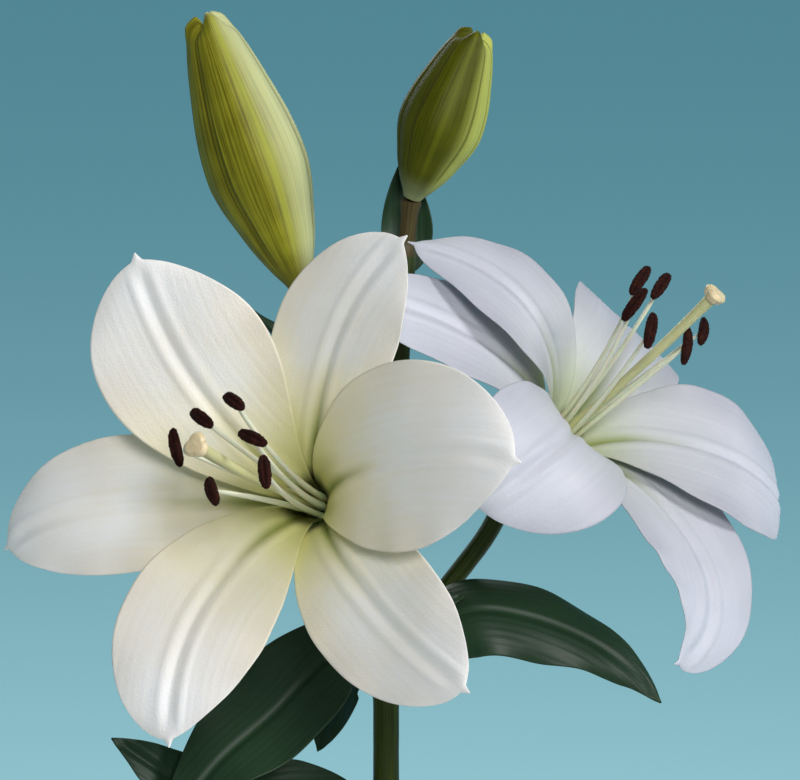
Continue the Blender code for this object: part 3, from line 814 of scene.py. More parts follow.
def neck_touch():
    """The stem's foot on the vase's floor, and its centre where it leans on the neck."""
    neck_height = RIM - NECK_BELOW_RIM
    foot_y = vase_radius(VASE_FLOOR) - VASE_WALL - STEM_DIAMETER / 2 - FOOT_MARGIN
    reach = NECK_RADIUS - VASE_WALL - STEM_DIAMETER / 2
    lean = math.atan2(foot_y + reach, neck_height - VASE_FLOOR)
    free = min(
        vase_radius(neck_height + more) - VASE_WALL - math.tan(lean) * more
        for more in np.linspace(0, NECK_BELOW_RIM, 19)
    )
    reach = free - STEM_DIAMETER / 2 / math.cos(lean) - GAP
    foot_z = VASE_FLOOR + GAP + STEM_DIAMETER / 2 * math.sin(lean)
    return np.array([0, foot_y, foot_z]), np.array([0, -reach, neck_height])


def stem_path():
    """The stem's centre line from its foot in the water to the small bud's stalk."""
    foot, neck = neck_touch()
    straight = [foot + (neck - foot) * share for share in np.linspace(0, 1, 8)]
    past = neck + (neck - foot) * 0.06
    return smooth_path([*straight, past, *(plant_point(*at) for at in STEM_LINE)], 3 * MM)


def stem_radius(height):
    """The stem is even below its first stalk and thinner above."""
    thinner = smooth(height, RIM + 90 * MM, RIM + 160 * MM)
    return (STEM_DIAMETER + (STEM_TOP_DIAMETER - STEM_DIAMETER) * thinner) / 2


def stem_centre(up):
    """The stem's centre at a height above the rim in millimetres."""
    path = stem_path()
    height = RIM + up * MM
    return np.array([np.interp(height, path[:, 2], path[:, axis]) for axis in range(3)])


def on_stem(up, azimuth, clear):
    """A point beside the stem, this far clear of it, on the side of the azimuth."""
    turn = math.radians(azimuth)
    side = np.array([math.cos(turn), math.sin(turn), 0])
    return stem_centre(up) + side * (stem_radius(RIM + up * MM) + GAP + clear)


def stalk(tree, name, up, azimuth, between, end, direction, diameter, end_radius):
    """A stalk out of the stem to a flower or a bud, swelling where it carries it."""
    radius = diameter / 2
    collar = end - unit(direction) * RECEPTACLE_LENGTH
    start = on_stem(up, azimuth, radius * 0.75)
    centre = stem_centre(up)
    rooted = centre + (start - centre) * 0.35 - np.array([0, 0, radius])
    route = [rooted, start, *(plant_point(*at) for at in between), collar, end]
    path = smooth_path(route, 2 * MM)
    swell = 1 - smooth(np.linalg.norm(path - end, axis=1), 0, RECEPTACLE_LENGTH)
    foot = 1 - smooth(np.linalg.norm(path - rooted, axis=1), radius, radius * 5)
    radii = (radius + (end_radius - radius) * swell) * (1 + 0.28 * foot)
    rod(tree, name + "_skin", path, radii, name, 28, 5, 0.018, 0.4 * MM, 160)


def make_stems(front, right):
    """The stem with its leaf joints, and the stalks of the flowers and of the large bud."""
    green = stem_finish("stem_green", (0.014, 0.023, 0.001), (0.04, 0.062, 0.002), (0.035, 0.02, 0.002))
    tree = rod_growth("green_limb", green)
    path = stem_path()
    joints = sum(hump(path[:, 2], RIM + up * MM, 5 * MM) for _, up, *_ in LEAVES)
    joints = np.where(path[:, 2] > RIM, np.minimum(joints, 1.2), 0)
    radii = [stem_radius(point[2]) + 0.5 * MM * joint for point, joint in zip(path, joints)]
    rod(tree, "stem_skin", path, radii, "stem", 32, 5, 0.012, 0.3 * MM, 160)
    carry = OUTER_RING + RECEPTACLE_MARGIN
    for flower, up, azimuth, between in (
        (front, 97, -100, ((-7, -21, 114),)),
        (right, 74, 18, ((23, 2, 94), (37, 2, 113))),
    ):
        end = flower.base - flower.axis * 1.5 * MM
        stalk(tree, f"{flower.name}_stalk", up, azimuth, between, end, flower.axis,
              FLOWER_STALK_DIAMETER, carry)
    return tree


# ---- the flowers


class Flower:
    """A flower's place: the centre of its throat, its axis and the two directions across."""

    def __init__(self, name, base, axis):
        self.name = name
        self.base = plant_point(*base)
        self.axis = unit(axis)
        self.up = unit(np.array([0, 0, 1]) - self.axis[2] * self.axis)
        self.right = np.cross(self.up, self.axis)

    def across(self, azimuth):
        """Outward and sideways directions at an azimuth round the axis."""
        turn = math.radians(azimuth)
        outward_way = math.cos(turn) * self.right + math.sin(turn) * self.up
        return outward_way, -math.sin(turn) * self.right + math.cos(turn) * self.up

    def point(self, azimuth, spread, reach):
        """A point by azimuth, distance from the axis and distance along it."""
        return self.base + self.across(azimuth)[0] * spread + self.axis * reach

    def parts(self, sweep):
        """How far a vector rises along the axis, and the rest of it."""
        rise = sweep @ self.axis
        return rise, sweep - rise * self.axis


# ring, the most that a claw fills on each side, length and width
WHORLS = {
    "inner": (INNER_RING, INNER_CLAW_ANGLE, INNER_LENGTH, INNER_WIDTH),
    "outer": (OUTER_RING, OUTER_CLAW_ANGLE, OUTER_LENGTH, OUTER_WIDTH),
}


def half_width(share, width):
    """Half of a tepal's width along it: a narrow claw, a broad middle and a round tip that
    ends in a small point."""
    rise = np.sin(math.pi / 2 * np.clip(share / WIDEST_AT, 0, 1)) ** CLAW_SPREAD
    fall = 1 - np.clip((share - WIDEST_AT) / (1 - POINT_LENGTH - WIDEST_AT), 0, 1) ** BLUNT
    wide = np.where(share < WIDEST_AT, CLAW + (1 - CLAW) * rise, np.maximum(fall, 0) ** ROUND_TIP)
    left = np.clip((1 - share) / (POINT_LENGTH * 2), 0, 1)
    return width / 2 * np.hypot(wide, POINT_WIDTH * (0.3 + 3.4 * left**1.2))


def room_beside(tepals, whorl, azimuth):
    """The angles that a tepal's claw may fill towards its neighbours of the same whorl."""
    others = [other[2] for other in tepals if other[1] == whorl and other[2] != azimuth]
    before = min((azimuth - other) % 360 for other in others) / 2 - CLAW_CLEARANCE
    after = min((other - azimuth) % 360 for other in others) / 2 - CLAW_CLEARANCE
    most = WHORLS[whorl][1]
    return math.radians(min(before, most)), math.radians(min(after, most))


def tepal_surface(flower, room, whorl, azimuth, longer, wider, flare, side, tip, seed):
    """The middle surface of a tepal as a grid of points, with how far each one lies from the
    midrib and from the throat. Flare turns it away from the axis at 0, 1/3, 2/3 and 1 of its
    length, side turns it across at the middle and at the tip, all in degrees. Tip is how many
    degrees more the last part turns back and the share of the width that it loses."""
    ring, _, length, width = WHORLS[whorl]
    length, width = length + longer * MM, width + wider * MM
    outward_way, sideways = flower.across(azimuth)
    axis = flower.axis

    def directions(share):
        away = np.radians(cubic_through(flare, share) + tip[0] * smooth(share, TURNED_TIP, 1))[:, None]
        aside = np.radians(np.interp(share, [0, 0.5, 1], [0, *side]))[:, None]
        ahead = np.cos(away) * axis + np.sin(away) * outward_way
        tangent = np.cos(aside) * ahead + np.sin(aside) * sideways
        across = np.cos(aside) * sideways - np.sin(aside) * ahead
        inner = np.sin(away) * axis - np.cos(away) * outward_way
        return tangent, across, inner, away[:, 0]

    steps = 400
    middles = (np.arange(steps) + 0.5) / steps
    walked = np.cumsum(directions(middles)[0] * length / steps, axis=0)
    midrib = flower.base + ring * outward_way + np.concatenate([np.zeros((1, 3)), walked])
    share = np.linspace(0, 1 - POINT_LENGTH * 1.5, TEPAL_ROWS - POINT_ROWS)
    share = np.concatenate([share, np.linspace(1 - POINT_LENGTH * 1.5, 1, POINT_ROWS + 1)[1:]])
    place = np.linspace(-1, 1, TEPAL_COLUMNS)
    tangent, across, inner, away = directions(share)
    centre = np.stack(
        [np.interp(share, np.linspace(0, 1, steps + 1), midrib[:, k]) for k in range(3)], 1
    )
    from_base = centre - flower.base
    radius = np.linalg.norm(from_base - (from_base @ axis)[:, None] * axis, axis=1)
    placed = (np.sign(place) * np.abs(place) ** 1.15)[None, :]
    limit = np.where(placed < 0, *room) * radius[:, None]
    half = (half_width(share, width) * (1 - tip[1] * smooth(share, *NARROWING)))[:, None]
    half = half * limit / (half**4 + limit**4) ** 0.25
    wrapped = (1 - smooth(share, 0.05, 0.45))[:, None]
    cup = np.radians(np.interp(share, [0, 0.35, 0.65, 1], [0, *TEPAL_CUP]))[:, None]
    bend = (np.cos(away) / radius)[:, None] * half * wrapped + cup * (1 - wrapped)
    bend = np.where(np.abs(bend) < 0.001, 0.001, bend)
    x, y = arc(half, bend, placed)
    s = share[:, None]
    reach = s * length
    fades = fading(s, 0.02, 0.15, 0.88, 0.98)
    y = y - FURROW_DEPTH * (1 - 0.5 * s) * hump(x, 0, FURROW_WIDTH) * fades
    y = y + RIDGE_HEIGHT * hump(np.abs(x), 2.2 * FURROW_WIDTH, FURROW_WIDTH) * fades
    y = y - TROUGH_DEPTH * hump(x, 0, TROUGH_WIDTH) * fades
    # The margins wave, each side in its own time, and the blade is never quite even.
    turns = 2 * math.pi * reach / RUFFLE_PITCH
    wave = np.where(x > 0, np.sin(turns + seed), np.sin(turns * 1.13 + 2.4 * seed + 1))
    edge = np.abs(placed) ** 3
    y = y + RUFFLE_DEPTH * wave * edge * fading(s, 0.22, 0.5, 0.93, 1)
    y = y + 0.3 * MM * np.sin(reach / (11 * MM) + x / (8 * MM) + seed * 3) * smooth(s, 0.2, 0.4)
    veins = np.sin(2 * math.pi * x / VEIN_PITCH + 0.7 * np.sin(reach / (14 * MM) + seed))
    y = y + VEIN_DEPTH * veins * fading(s, 0.1, 0.25, 0.9, 1)
    points = centre[:, None] + across[:, None] * x[..., None] + inner[:, None] * y[..., None]
    return points, share, place, x, reach + 0 * x


def make_tepals(flower, tepals, finish):
    """Six tepals: three inner ones and three outer ones behind the gaps between them."""
    for number, (name, whorl, azimuth, longer, wider, flare, side, tip) in enumerate(tepals):
        seed = number * 1.7
        room = room_beside(tepals, whorl, azimuth)
        points, share, place, x, reach = tepal_surface(
            flower, room, whorl, azimuth, longer, wider, flare, side, tip, seed
        )
        edge = np.abs(place)[None, :] ** 2
        thick = (1.0 - 0.55 * edge) * (1 - 0.35 * smooth(share, 0.3, 1))[:, None] * TEPAL_THICKNESS
        node = f"{flower.name}_{whorl}_tepal_{name}"
        mesh = blade(node + "_blade", points, thick, share, place, x, reach)
        link(node + "_blade", mesh, finish, node)


def anther_rule(centre, direction, out, lumps):
    """A long, lumpy pod of two lobes with a groove down each face, a little bowed."""
    long = unit(direction)
    wide = unit(np.cross(long, out))
    deep = np.cross(long, wide)

    def rule(share, turn):
        reach = -np.cos(math.pi * share)
        full = np.sin(math.pi * share) ** 0.82
        full = full * (0.93 + 0.05 * np.sin(3 * turn + 13 * share) * np.sin(23 * share + lumps))
        x = np.cos(turn) * full * ANTHER_WIDTH / 2
        pinch = 1 - 0.42 * hump(x, 0, ANTHER_WIDTH * 0.11) * smooth(full, 0.2, 0.8)
        y = np.sin(turn) * full * ANTHER_DEPTH / 2 * pinch
        y = y + 0.7 * MM * (reach**2 - 0.4)
        reach = reach + 0.06 * np.abs(np.cos(turn)) * full * np.sign(reach)
        z = reach * ANTHER_LENGTH / 2 * 0.97
        return centre + long * z[:, None] + wide * x[:, None] + deep * y[:, None]

    return rule


def pollen_growth(finish):
    """Grains of pollen scattered over an anther, each half sunk into it."""
    inputs = {"Grains per square metre": "Float", "Grain": "Float", "Seed": "Int"}
    tree = Growth("pollen", inputs)
    spread = {"Mesh": tree.given(), "Density": tree.given("Grains per square metre")}
    spread["Seed"] = tree.given("Seed")
    where = tree.node("GeometryNodeDistributePointsOnFaces", {}, spread)
    ball = {"Radius": tree.given("Grain"), "Subdivisions": 1}
    ball = tree.node("GeometryNodeMeshIcoSphere", {}, ball)
    size = {"data_type": "FLOAT"}
    size = tree.node("FunctionNodeRandomValue", size, {2: 0.6, 3: 1.3, "Seed": tree.given("Seed")}, 1)
    dust = {"Points": where, "Instance": ball, "Scale": size}
    dust = tree.node("GeometryNodeInstanceOnPoints", {}, dust)
    both = tree.tree.nodes.new("GeometryNodeJoinGeometry")
    for piece in (tree.given(), dust):
        tree.tree.links.new(piece.socket, both.inputs[0])
    tree.end(Wire(tree.tree, both.outputs[0]), finish, smooth_shaded=False)
    return tree


def make_stamens(flower, stamens, rods, dust):
    """Six filaments from a ring round the ovary, each with an anther across its tip."""
    for number, (start, azimuth, spread, reach, swing) in enumerate(stamens, 1):
        foot = flower.point(start, STAMEN_RING, GAP)
        centre = flower.point(azimuth, spread * MM, reach * MM)
        direction = unit(swing[0] * flower.right + swing[1] * flower.up + swing[2] * flower.axis)
        rise, sideways = flower.parts(centre - foot)
        arrive = unit(1.6 * sideways + rise * flower.axis)
        stop = centre - arrive * ANTHER_DEPTH * 0.3
        rise, sideways = flower.parts(stop - foot)
        shares = np.linspace(-0.04, 1, 40)
        bow = np.abs(shares) ** 1.6
        path = foot + bow[:, None] * sideways + shares[:, None] * rise * flower.axis
        radii = np.interp(shares, [0, 0.3, 0.9, 1], [1.15 * MM, 1.0 * MM, 0.75 * MM, 0.45 * MM])
        node = f"{flower.name}_filament_{number}"
        rod(rods, node + "_thread", path, radii, node, 14, 2, 0.03, 0.1 * MM, 300)
        node = f"{flower.name}_anther_{number}"
        mesh = pod(node, anther_rule(centre, direction, arrive, number), 40, 40)
        values = {"Grains per square metre": POLLEN_PER_SQUARE_METRE, "Grain": POLLEN_RADIUS}
        values["Seed"] = number
        link(node + "_pollen", dust.grow(node + "_dust", mesh, values), None, node)


def make_pistil(flower, azimuth, spread, reach, rods, finish):
    """The ovary, the style that grows out of it and the three-lobed stigma."""
    stop = flower.point(azimuth, spread * MM, reach * MM)
    foot = flower.base + flower.axis * GAP
    rise, sideways = flower.parts(stop - foot)
    shares = np.linspace(-0.02, 1, 70)
    path = foot + (shares**2)[:, None] * sideways + shares[:, None] * rise * flower.axis
    ovary = OVARY_LENGTH / rise
    stages = [0, ovary * 0.7, ovary * 1.15, 0.6, 0.9, 0.965, 1]
    widths = [OVARY_RADIUS, OVARY_RADIUS, STYLE_RADIUS * 0.85, STYLE_RADIUS, STYLE_RADIUS * 1.1]
    widths += [STYLE_RADIUS * 1.25, STYLE_RADIUS * 1.5]
    radii = np.interp(shares, stages, widths)
    node = f"{flower.name}_pistil"
    rod(rods, node + "_style", path, radii, node, 24, 3, 0.05, 0.1 * MM, 200)
    top = unit(path[-1] - path[-4])
    one = unit(np.cross(top, flower.right))
    two = np.cross(top, one)

    def rule(share, turn):
        height = (1 - np.cos(math.pi * share)) / 2
        full = np.interp(height, [0, 0.25, 0.6, 0.85, 1], [0.25, 0.8, 1, 0.72, 0])
        full = np.where(height <= 0, 0, full)
        lobes = 1.05 + 0.12 * np.cos(3 * turn) - 0.1 * hump(np.cos(1.5 * turn), 0, 0.2)
        across = full * lobes * STIGMA_RADIUS
        crown = (height - 0.12 * smooth(height, 0.8, 1)) * STIGMA_RADIUS * 1.5
        out = np.cos(turn)[:, None] * one + np.sin(turn)[:, None] * two
        return path[-4] + top * crown[:, None] + out * across[:, None]

    link(f"{flower.name}_stigma", pod(f"{flower.name}_stigma", rule, 40, 60), finish, node)


# name, whorl, azimuth, how much longer and wider than usual (mm), flare, side turn, tip
FRONT_TEPALS = (
    ("left", "outer", 188, 2, 0, (12, 65, 80, 125), (0, 24), (0, 0)),
    ("lower_right", "outer", 316, -2, -1, (12, 66, 76, 88), (4, 18), (0, 0)),
    ("upper", "outer", 77, -9, -1, (12, 65, 76, 98), (-5, -36), (0, 0)),
    ("upper_left", "inner", 142, -1, 4, (12, 48, 60, 76), (-14, -34), (0, 0)),
    ("lower_left", "inner", 233, -1, -7, (12, 52, 68, 87), (18, 52), (0, 0)),
    ("right", "inner", 20, 2, 4, (12, 53, 72, 98), (-8, -30), (0, 0)),
)
RIGHT_TEPALS = (
    ("left", "outer", 145, 0, -5, (12, 72, 97, 124), (0, 0), (0, 0)),
    ("low", "outer", 275, 17, 9, (12, 70, 93, 135), (-7, -90), (0, 0.42)),
    ("back", "outer", 33, -16, 6, (12, 66, 108, 160), (0, 0), (0, 0)),
    ("upper_left", "inner", 119, -4, -7, (12, 55, 99, 128), (0, 4), (0, 0.18)),
    ("front", "inner", 205, -8, 1, (12, 54, 106, 158), (-6, -10), (0, 0)),
    ("right", "inner", 319, 0, 4, (12, 54, 90, 136), (2, 6), (80, 0.04)),
)
# where the filament starts, then its anther's azimuth, spread, reach (mm) and direction
FRONT_STAMENS = (
    (164, 157, 18, 73, (0.4, -0.9, 0.1)),
    (104, 117, 19, 73, (0.8, -0.4, 0.4)),
    (44, 84, 23, 73, (0.8, -0.4, 0.5)),
    (344, 47, 15.5, 73, (0.9, -0.3, 0.3)),
    (284, 3, 16.5, 73, (0.4, -0.8, 0.4)),
    (224, 256, 6.5, 73, (0.6, -0.7, 0.5)),
)
RIGHT_STAMENS = (
    (120, 95, 25.5, 70, (0.7, 0.5, 0.4)),
    (180, 131, 21, 70, (0.4, 0.4, 0.8)),
    (60, 70, 24, 70, (0.8, 0.5, 0.3)),
    (240, 158, 14, 70, (0.5, 0.8, 0.4)),
    (300, 0, 9.5, 66, (0.3, 0.8, 0.5)),
    (0, 12, 25, 66, (0.7, 0.7, 0.1)),
)


def make_flowers(front, right):
    """Both open flowers, the front one creamier and the right one whiter and cooler, its colours painted
    darker as shade.
    """
    cream = petal_finish("petal_cream", (0.88, 0.87, 0.85), (0.85, 0.8, 0.72),
                         (0.8, 0.7, 0.55), (0.9, 0.9, 0.93), (0.82, 0.74, 0.38), (0.52, 0.54, 0.05))
    # The right flower's own cooler white, painted darker as shade.
    white = petal_finish("petal_white", (0.54, 0.54, 0.6), (0.47, 0.48, 0.55),
                         (0.36, 0.36, 0.42), (0.58, 0.6, 0.68), (0.55, 0.57, 0.54), (0.46, 0.52, 0.2))
    rods = rod_growth("filament_limb", filament_finish())
    style = pistil_finish("style_pale", (0.56, 0.57, 0.26), (0.64, 0.62, 0.35))
    styles = rod_growth("style_limb", style)
    stigma = pistil_finish("stigma_cream", (0.68, 0.55, 0.32), (0.75, 0.63, 0.4))
    dust = pollen_growth(anther_finish())
    make_tepals(front, FRONT_TEPALS, cream)
    make_tepals(right, RIGHT_TEPALS, white)
    make_stamens(front, FRONT_STAMENS, rods, dust)
    make_stamens(right, RIGHT_STAMENS, rods, dust)
    make_pistil(front, 85, 5.5, 91, styles, stigma)
    make_pistil(right, 46, 10, 88, styles, stigma)


# ---- the buds


def bud(name, base, tip, length, radius, facing, closed, finish, pale):
    """A closed bud: outer tepals with a keel, shut at their seams, each ending in a lobe.
    Facing is the angle of the first tepal's keel and closed the half-angle it covers."""
    foot = plant_point(*base)
    axis = unit(plant_point(*tip) - foot)
    right = unit(np.cross(axis, (0, 1, 0)))
    front = np.cross(axis, right)
    foot = foot + axis * GAP

    def sector(turn):
        """How far this angle is from its nearest keel, in degrees with a sign."""
        away = np.degrees(turn) - facing
        return (away + 60) % 120 - 60

    def rule(share, turn):
        up = (1 - np.cos(math.pi * share)) / 2
        off = sector(turn)
        full = cubic_spline(BUD_STAGES, BUD_GIRTHS, up) * smooth(share, 0, 0.01)
        seam = hump(np.abs(off), closed, 2.6) * smooth(up, 0.06, 0.2)
        keel = hump(off, 0, 5) * smooth(up, 0.1, 0.3)
        shoulders = hump(np.abs(off), 13, 8) * smooth(up, 0.15, 0.35)
        sunk = smooth(np.abs(off), closed, closed + 6) * smooth(up, 0.1, 0.3)
        ribs = np.cos(np.radians(off) * 18) * fading(up, 0.08, 0.25, 0.85, 1)
        lobed = 0.035 * np.cos(np.radians(off) * 3)
        girth = 1 + lobed - 0.05 * seam - 0.012 * keel + 0.01 * shoulders + 0.005 * ribs - 0.015 * sunk
        belly = radius * full * girth
        notch = smooth(up, 0.86, 1) * (0.018 + 0.05 * smooth(np.abs(off), 5, 60))
        notch = notch + 0.075 * smooth(up, 0.985, 1)
        belly = belly + radius * 0.06 * fading(up, 0.88, 0.96, 0.97, 1) * hump(off, 0, 25)
        out = np.cos(turn)[:, None] * right + np.sin(turn)[:, None] * front
        return foot + axis * ((up - notch) * length)[:, None] + out * belly[:, None]

    mesh = pod(name, rule, 150, 180)
    turns, shares = np.empty((2, len(mesh.vertices)), np.float32)
    mesh.attributes["around"].data.foreach_get("value", turns)
    mesh.attributes["along"].data.foreach_get("value", shares)
    off = sector(turns * 2 * math.pi)
    heights = (1 - np.cos(math.pi * shares)) / 2
    mesh.attributes["along"].data.foreach_set("value", heights.astype(np.float32))
    numbers = {
        # Painted shade along the seam grooves.
        "seam": hump(np.abs(off), closed, 2.4) * smooth(heights, 0.04, 0.2),
        "keel": hump(off, 0, 5),
        "side": off / 60,
        # Painted light: how much of the right side is painted paler.
        "pale": smooth(-np.cos(turns * 2 * math.pi), *pale),
    }
    carry(mesh, numbers)
    link(name + "_tepals", mesh, finish, name)
    return foot - axis * GAP * 2, axis


def cubic_spline(knots, values, at):
    """A smooth curve through the values at the knots, with slopes that never overshoot."""
    knots, values = np.asarray(knots, float), np.asarray(values, float)
    steps = np.diff(values) / np.diff(knots)
    slopes = np.concatenate([[steps[0]], (steps[1:] + steps[:-1]) / 2, [steps[-1]]])
    flat = np.concatenate([[False], steps[1:] * steps[:-1] <= 0, [False]])
    slopes[flat] = 0
    index = np.clip(np.searchsorted(knots, at, side="right") - 1, 0, len(steps) - 1)
    wide = knots[index + 1] - knots[index]
    t = (at - knots[index]) / wide
    start, end = values[index], values[index + 1]
    return (
        start * (1 + 2 * t) * (1 - t) ** 2
        + end * t**2 * (3 - 2 * t)
        + slopes[index] * wide * t * (1 - t) ** 2
        - slopes[index + 1] * wide * t**2 * (1 - t)
    )


def make_buds(green_limbs):
    """The two closed buds on their stalks."""
    olive = bud_finish("bud_olive", (0.12, 0.105, 0.004), (0.33, 0.32, 0.022), (0.64, 0.68, 0.38),
                       (0.4, 0.42, 0.035), (0.1, 0.09, 0.012))
    fresh = bud_finish("bud_fresh", (0.045, 0.05, 0.001), (0.09, 0.1, 0.002), (0.55, 0.6, 0.14),
                       (0.15, 0.17, 0.005), (0.26, 0.29, 0.15))
    end, axis = bud("large_bud", (-30.3, 14, 198.8), (-64.8, 10, 297.4), LARGE_BUD_LENGTH,
                    LARGE_BUD_RADIUS, 108, 57, olive, (0, 0.98))
    stalk(green_limbs, "large_bud_stalk", 146, 115, ((-14, 17, 177),), end, axis,
          BUD_STALK_DIAMETER, BUD_BASE_RADIUS)
    end, axis = bud("small_bud", (9, 6, 231.4), (32.5, 0, 291.5), SMALL_BUD_LENGTH,
                    SMALL_BUD_RADIUS, 92, 42, fresh, (0.3, 0.98))
    brown = stem_finish("stalk_brown", (0.03, 0.018, 0.005), (0.085, 0.06, 0.02), (0.06, 0.07, 0.02))
    below, top = stem_path()[-2:]
    ahead = unit(top - below)
    path = smooth_path([top - ahead * 3 * MM, top + ahead * 3 * MM, top + ahead * 6 * MM, end], 1.5 * MM)
    left = np.linalg.norm(path - end, axis=1)
    radii = BUD_STALK_DIAMETER / 2 + (BUD_BASE_RADIUS - BUD_STALK_DIAMETER / 2) * (
        1 - smooth(left, 0, 6 * MM)
    )
    rod(rod_growth("brown_limb", brown), "small_bud_stalk_skin", path, radii, "small_bud_stalk",
        28, 5, 0.018, 0.3 * MM, 160)


# ---- the leaves


def make_leaf(name, up, azimuth, route, width, facing, arch, finish):
    """A lance-shaped leaf out of the stem's side along a route, its upper face turned to
    facing. Arch bends each half: down when negative, up when positive, in degrees."""
    start = on_stem(up, azimuth, LEAF_BASE_WIDTH * 0.35)
    path = smooth_path([start, *(plant_point(*at) for at in route)], 1 * MM)
    length = np.linalg.norm(np.diff(path, axis=0), axis=1).sum()
    share, place = np.linspace(0, 1, LEAF_ROWS), np.linspace(-1, 1, LEAF_COLUMNS)
    centre = along(path, share)
    ahead = along(path, np.clip(share + 0.01, 0, 1)) - along(path, np.clip(share - 0.01, 0, 1))
    tangent = ahead / np.linalg.norm(ahead, axis=1)[:, None]
    side = np.cross(tangent, facing)
    side /= np.linalg.norm(side, axis=1)[:, None]
    face = np.cross(side, tangent)
    half = width / 2 * np.sin(math.pi * share**LEAF_WIDEST) ** 0.8
    half = np.maximum(half, LEAF_BASE_WIDTH / 2 * (1 - smooth(share, 0, 0.15)))
    half = np.maximum(half, 0.25 * MM)
    bend = (math.radians(arch) * smooth(share, 0, 0.25) + 0.001)[:, None]
    x, y = arc(half[:, None], bend, place)
    s = share[:, None]
    reach = s * length
    y = y - MIDRIB_DEPTH * hump(x, 0, MIDRIB_WIDTH) * fading(s, 0.03, 0.2, 0.9, 1)
    y = y + LEAF_VEIN_DEPTH * np.cos(2 * math.pi * x / LEAF_VEIN_PITCH) * smooth(s, 0.05, 0.2)
    sway = np.sin(2 * math.pi * reach / LEAF_WAVE_PITCH + up + np.sign(x))
    y = y + LEAF_WAVE_HEIGHT * sway * np.abs(place) ** 2 * fading(s, 0.1, 0.3, 0.85, 1)
    points = centre[:, None] + side[:, None] * x[..., None] + face[:, None] * y[..., None]
    thick = LEAF_THICKNESS + (LEAF_EDGE_THICKNESS - LEAF_THICKNESS) * place**2 + 0 * x
    mesh = blade(name + "_blade", points, thick, share, place, x, reach + 0 * x)
    link(name + "_blade", mesh, finish, name)


# name, height on the stem (mm), azimuth, route (mm), width, the way its face looks, arch
LEAVES = (
    ("leaf_right", 66, -35,
     ((15, -12, 78), (31, -17, 87), (50, -17, 85), (71, -17, 77), (87, -19, 66), (97, -22, 55)),
     34 * MM, (0.1, -0.75, 0.65), -32),
    ("leaf_front_left", 70, -130,
     ((-20, -9, 69), (-40, -16, 50), (-60, -24, 33), (-78, -32, 10)),
     41 * MM, (-0.3, -0.8, 0.5), 14),
    ("leaf_lower_left", 14, 180,
     ((-30, -2, 15), (-60, -8, 16), (-97, -20, 42)),
     34 * MM, (0.2, -0.8, 0.6), 14),
    ("leaf_behind_left", 62, 165,
     ((-14, 6, 58), (-20, 9, 45), (-25, 10, 31)),
     19 * MM, (-0.5, -0.8, 0.3), 10),
    ("leaf_back", 60, 100,
     ((-6, 26, 80), (-14, 56, 84), (-22, 86, 66)),
     32 * MM, (0, 0.2, 1), 16),
    ("bract_right", 80, -60,
     ((12, -13, 87), (20, -17, 91), (28, -17, 92)),
     10 * MM, (0, -0.8, 0.6), 16),
    ("bract_upper", 204, 95,
     ((7.5, 17, 220), (6, 18, 246)),
     19 * MM, (0, -1, 0.1), 22),
    ("bract_left", 140, 130,
     ((-22, 24, 166), (-50, 24, 192)),
     14 * MM, (0.3, -0.7, 0.6), 12),
)


# ---- the studio


def make_camera():
    """The camera, a metre in front of the flowers and a little above them."""
    aim = Vector((5 * MM, UPRIGHT - 70 * MM, RIM + 170 * MM))
    tilt = math.radians(5)
    data = bpy.data.cameras.new("camera")
    data.lens = 135
    data.sensor_width = 36
    made = object_of("camera", data)
    made.location = aim + Vector((0, -math.cos(tilt), math.sin(tilt)))
    made.rotation_euler = (math.pi / 2 - tilt, 0, 0)
    bpy.context.scene.camera = made


def backdrop_finish():
    """Pale paper round the vase, and a blue-green glow beyond it that darkens upwards."""
    made = Finish("backdrop", Roughness=0.9, Specular_IOR_Level=0.1, Emission_Strength=1)
    x, y, z = made.split(made.place())
    radius = (x * x + y * y) ** 0.5
    far = radius.step(0.35, 0.85)
    behind = (y / (radius + 0.01)).step(-0.4, 0.3)
    low = (RIM + 0.257 - z) / (radius + 1.07) + 0.04
    low = (low.math("MAXIMUM", 0) * 3.85) ** 1.6
    glow = made.mix(low, (0.078, 0.227, 0.283), (0.25, 0.5, 0.565))
    glow = made.mix(behind, (0.035, 0.07, 0.08), glow)
    made.layers((0.62, 0.64, 0.63), (far, (0.02, 0.03, 0.03)))
    made.paint("Emission Color", made.mix(far, (0, 0, 0), glow))
    return made


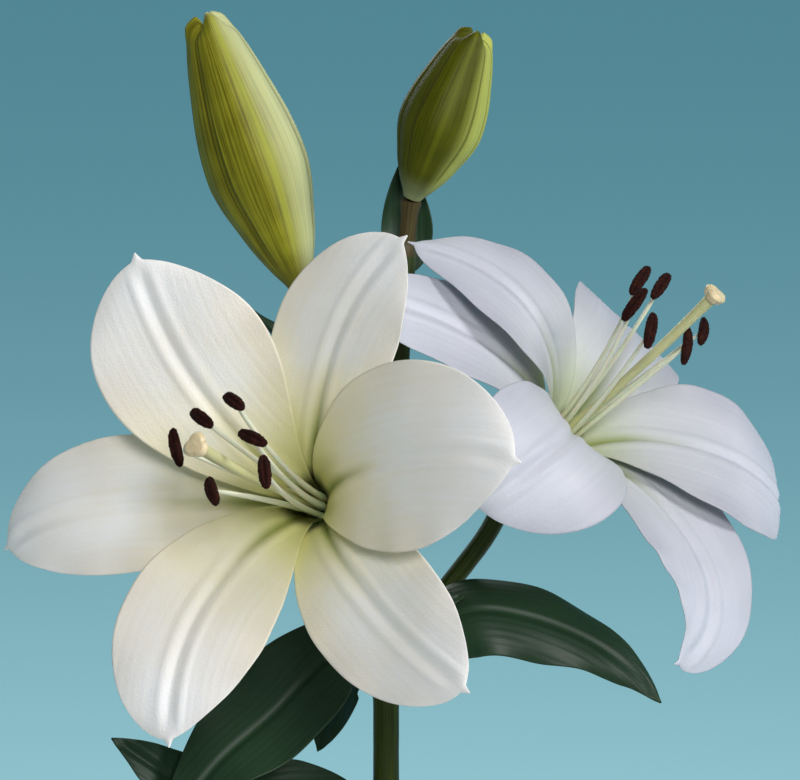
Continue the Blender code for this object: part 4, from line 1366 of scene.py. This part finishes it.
def make_stage():
    """A round floor that turns up into a wall on every side."""
    bend, reach, height = 0.35, 4.0, 3.0
    profile = [(radius, -GAP) for radius in (0, 0.2, 0.5, 1, 1.5, 2, 2.5, 3, reach - bend)]
    for turn in np.linspace(0, math.pi / 2, 13)[1:]:
        profile.append((reach - bend + bend * math.sin(turn), bend - bend * math.cos(turn) - GAP))
    profile.append((reach, height))
    sides = 96
    turns = np.linspace(0, 2 * math.pi, sides, endpoint=False)
    points = np.array([(r * math.cos(t), r * math.sin(t), z) for r, z in profile[1:] for t in turns])
    points = np.concatenate([points, [[0, 0, -GAP]]])
    faces = [face[::-1] for face in ring_faces(len(profile) - 1, sides)]
    faces += [(len(points) - 1, k, (k + 1) % sides) for k in range(sides)]
    mesh = mesh_of("backdrop", points, faces, {})
    mesh.materials.append(backdrop_finish().material)
    object_of("backdrop", mesh)


def make_light(name, where, size, power, colour):
    """A square area light aimed at the flowers."""
    data = bpy.data.lights.new(name, "AREA")
    data.size = size
    data.energy = power
    data.color = colour
    made = object_of(name, data)
    made.location = where
    aim = Vector((0, 0, RIM + 130 * MM)) - Vector(where)
    made.rotation_euler = aim.to_track_quat("-Z", "Y").to_euler()


def make_lights():
    """Soft light from the front, a key light from the right and a glow from behind."""
    make_light("key", (1.9, -0.8, 1.5), 0.7, 34, (0.99, 0.99, 1.0))
    make_light("front", (0.4, -2.3, 1.25), 0.8, 40, (1, 0.99, 0.98))
    make_light("back", (-0.6, 1.7, 1.5), 1.2, 18, (1, 1, 1))
    world = bpy.data.worlds.new("studio")
    world.use_nodes = True
    world.node_tree.nodes["Background"].inputs["Color"].default_value = (0.66, 0.62, 0.55, 1)
    world.node_tree.nodes["Background"].inputs["Strength"].default_value = 0.12
    bpy.context.scene.world = world
    bpy.context.scene.view_settings.view_transform = "Standard"


def main():
    """Dress the frame."""
    make_camera()
    make_stage()
    make_lights()
    make_vase()
    front = Flower("front_flower", (-23, -50, 129), (-0.41, -0.875, 0.257))
    right = Flower("right_flower", (57, 0, 143), (0.63, -0.51, 0.585))
    green_limbs = make_stems(front, right)
    make_flowers(front, right)
    make_buds(green_limbs)
    green = leaf_finish()
    for name, up, azimuth, route, width, facing, arch in LEAVES:
        make_leaf(name, up, azimuth, route, width, facing, arch, green)


main()
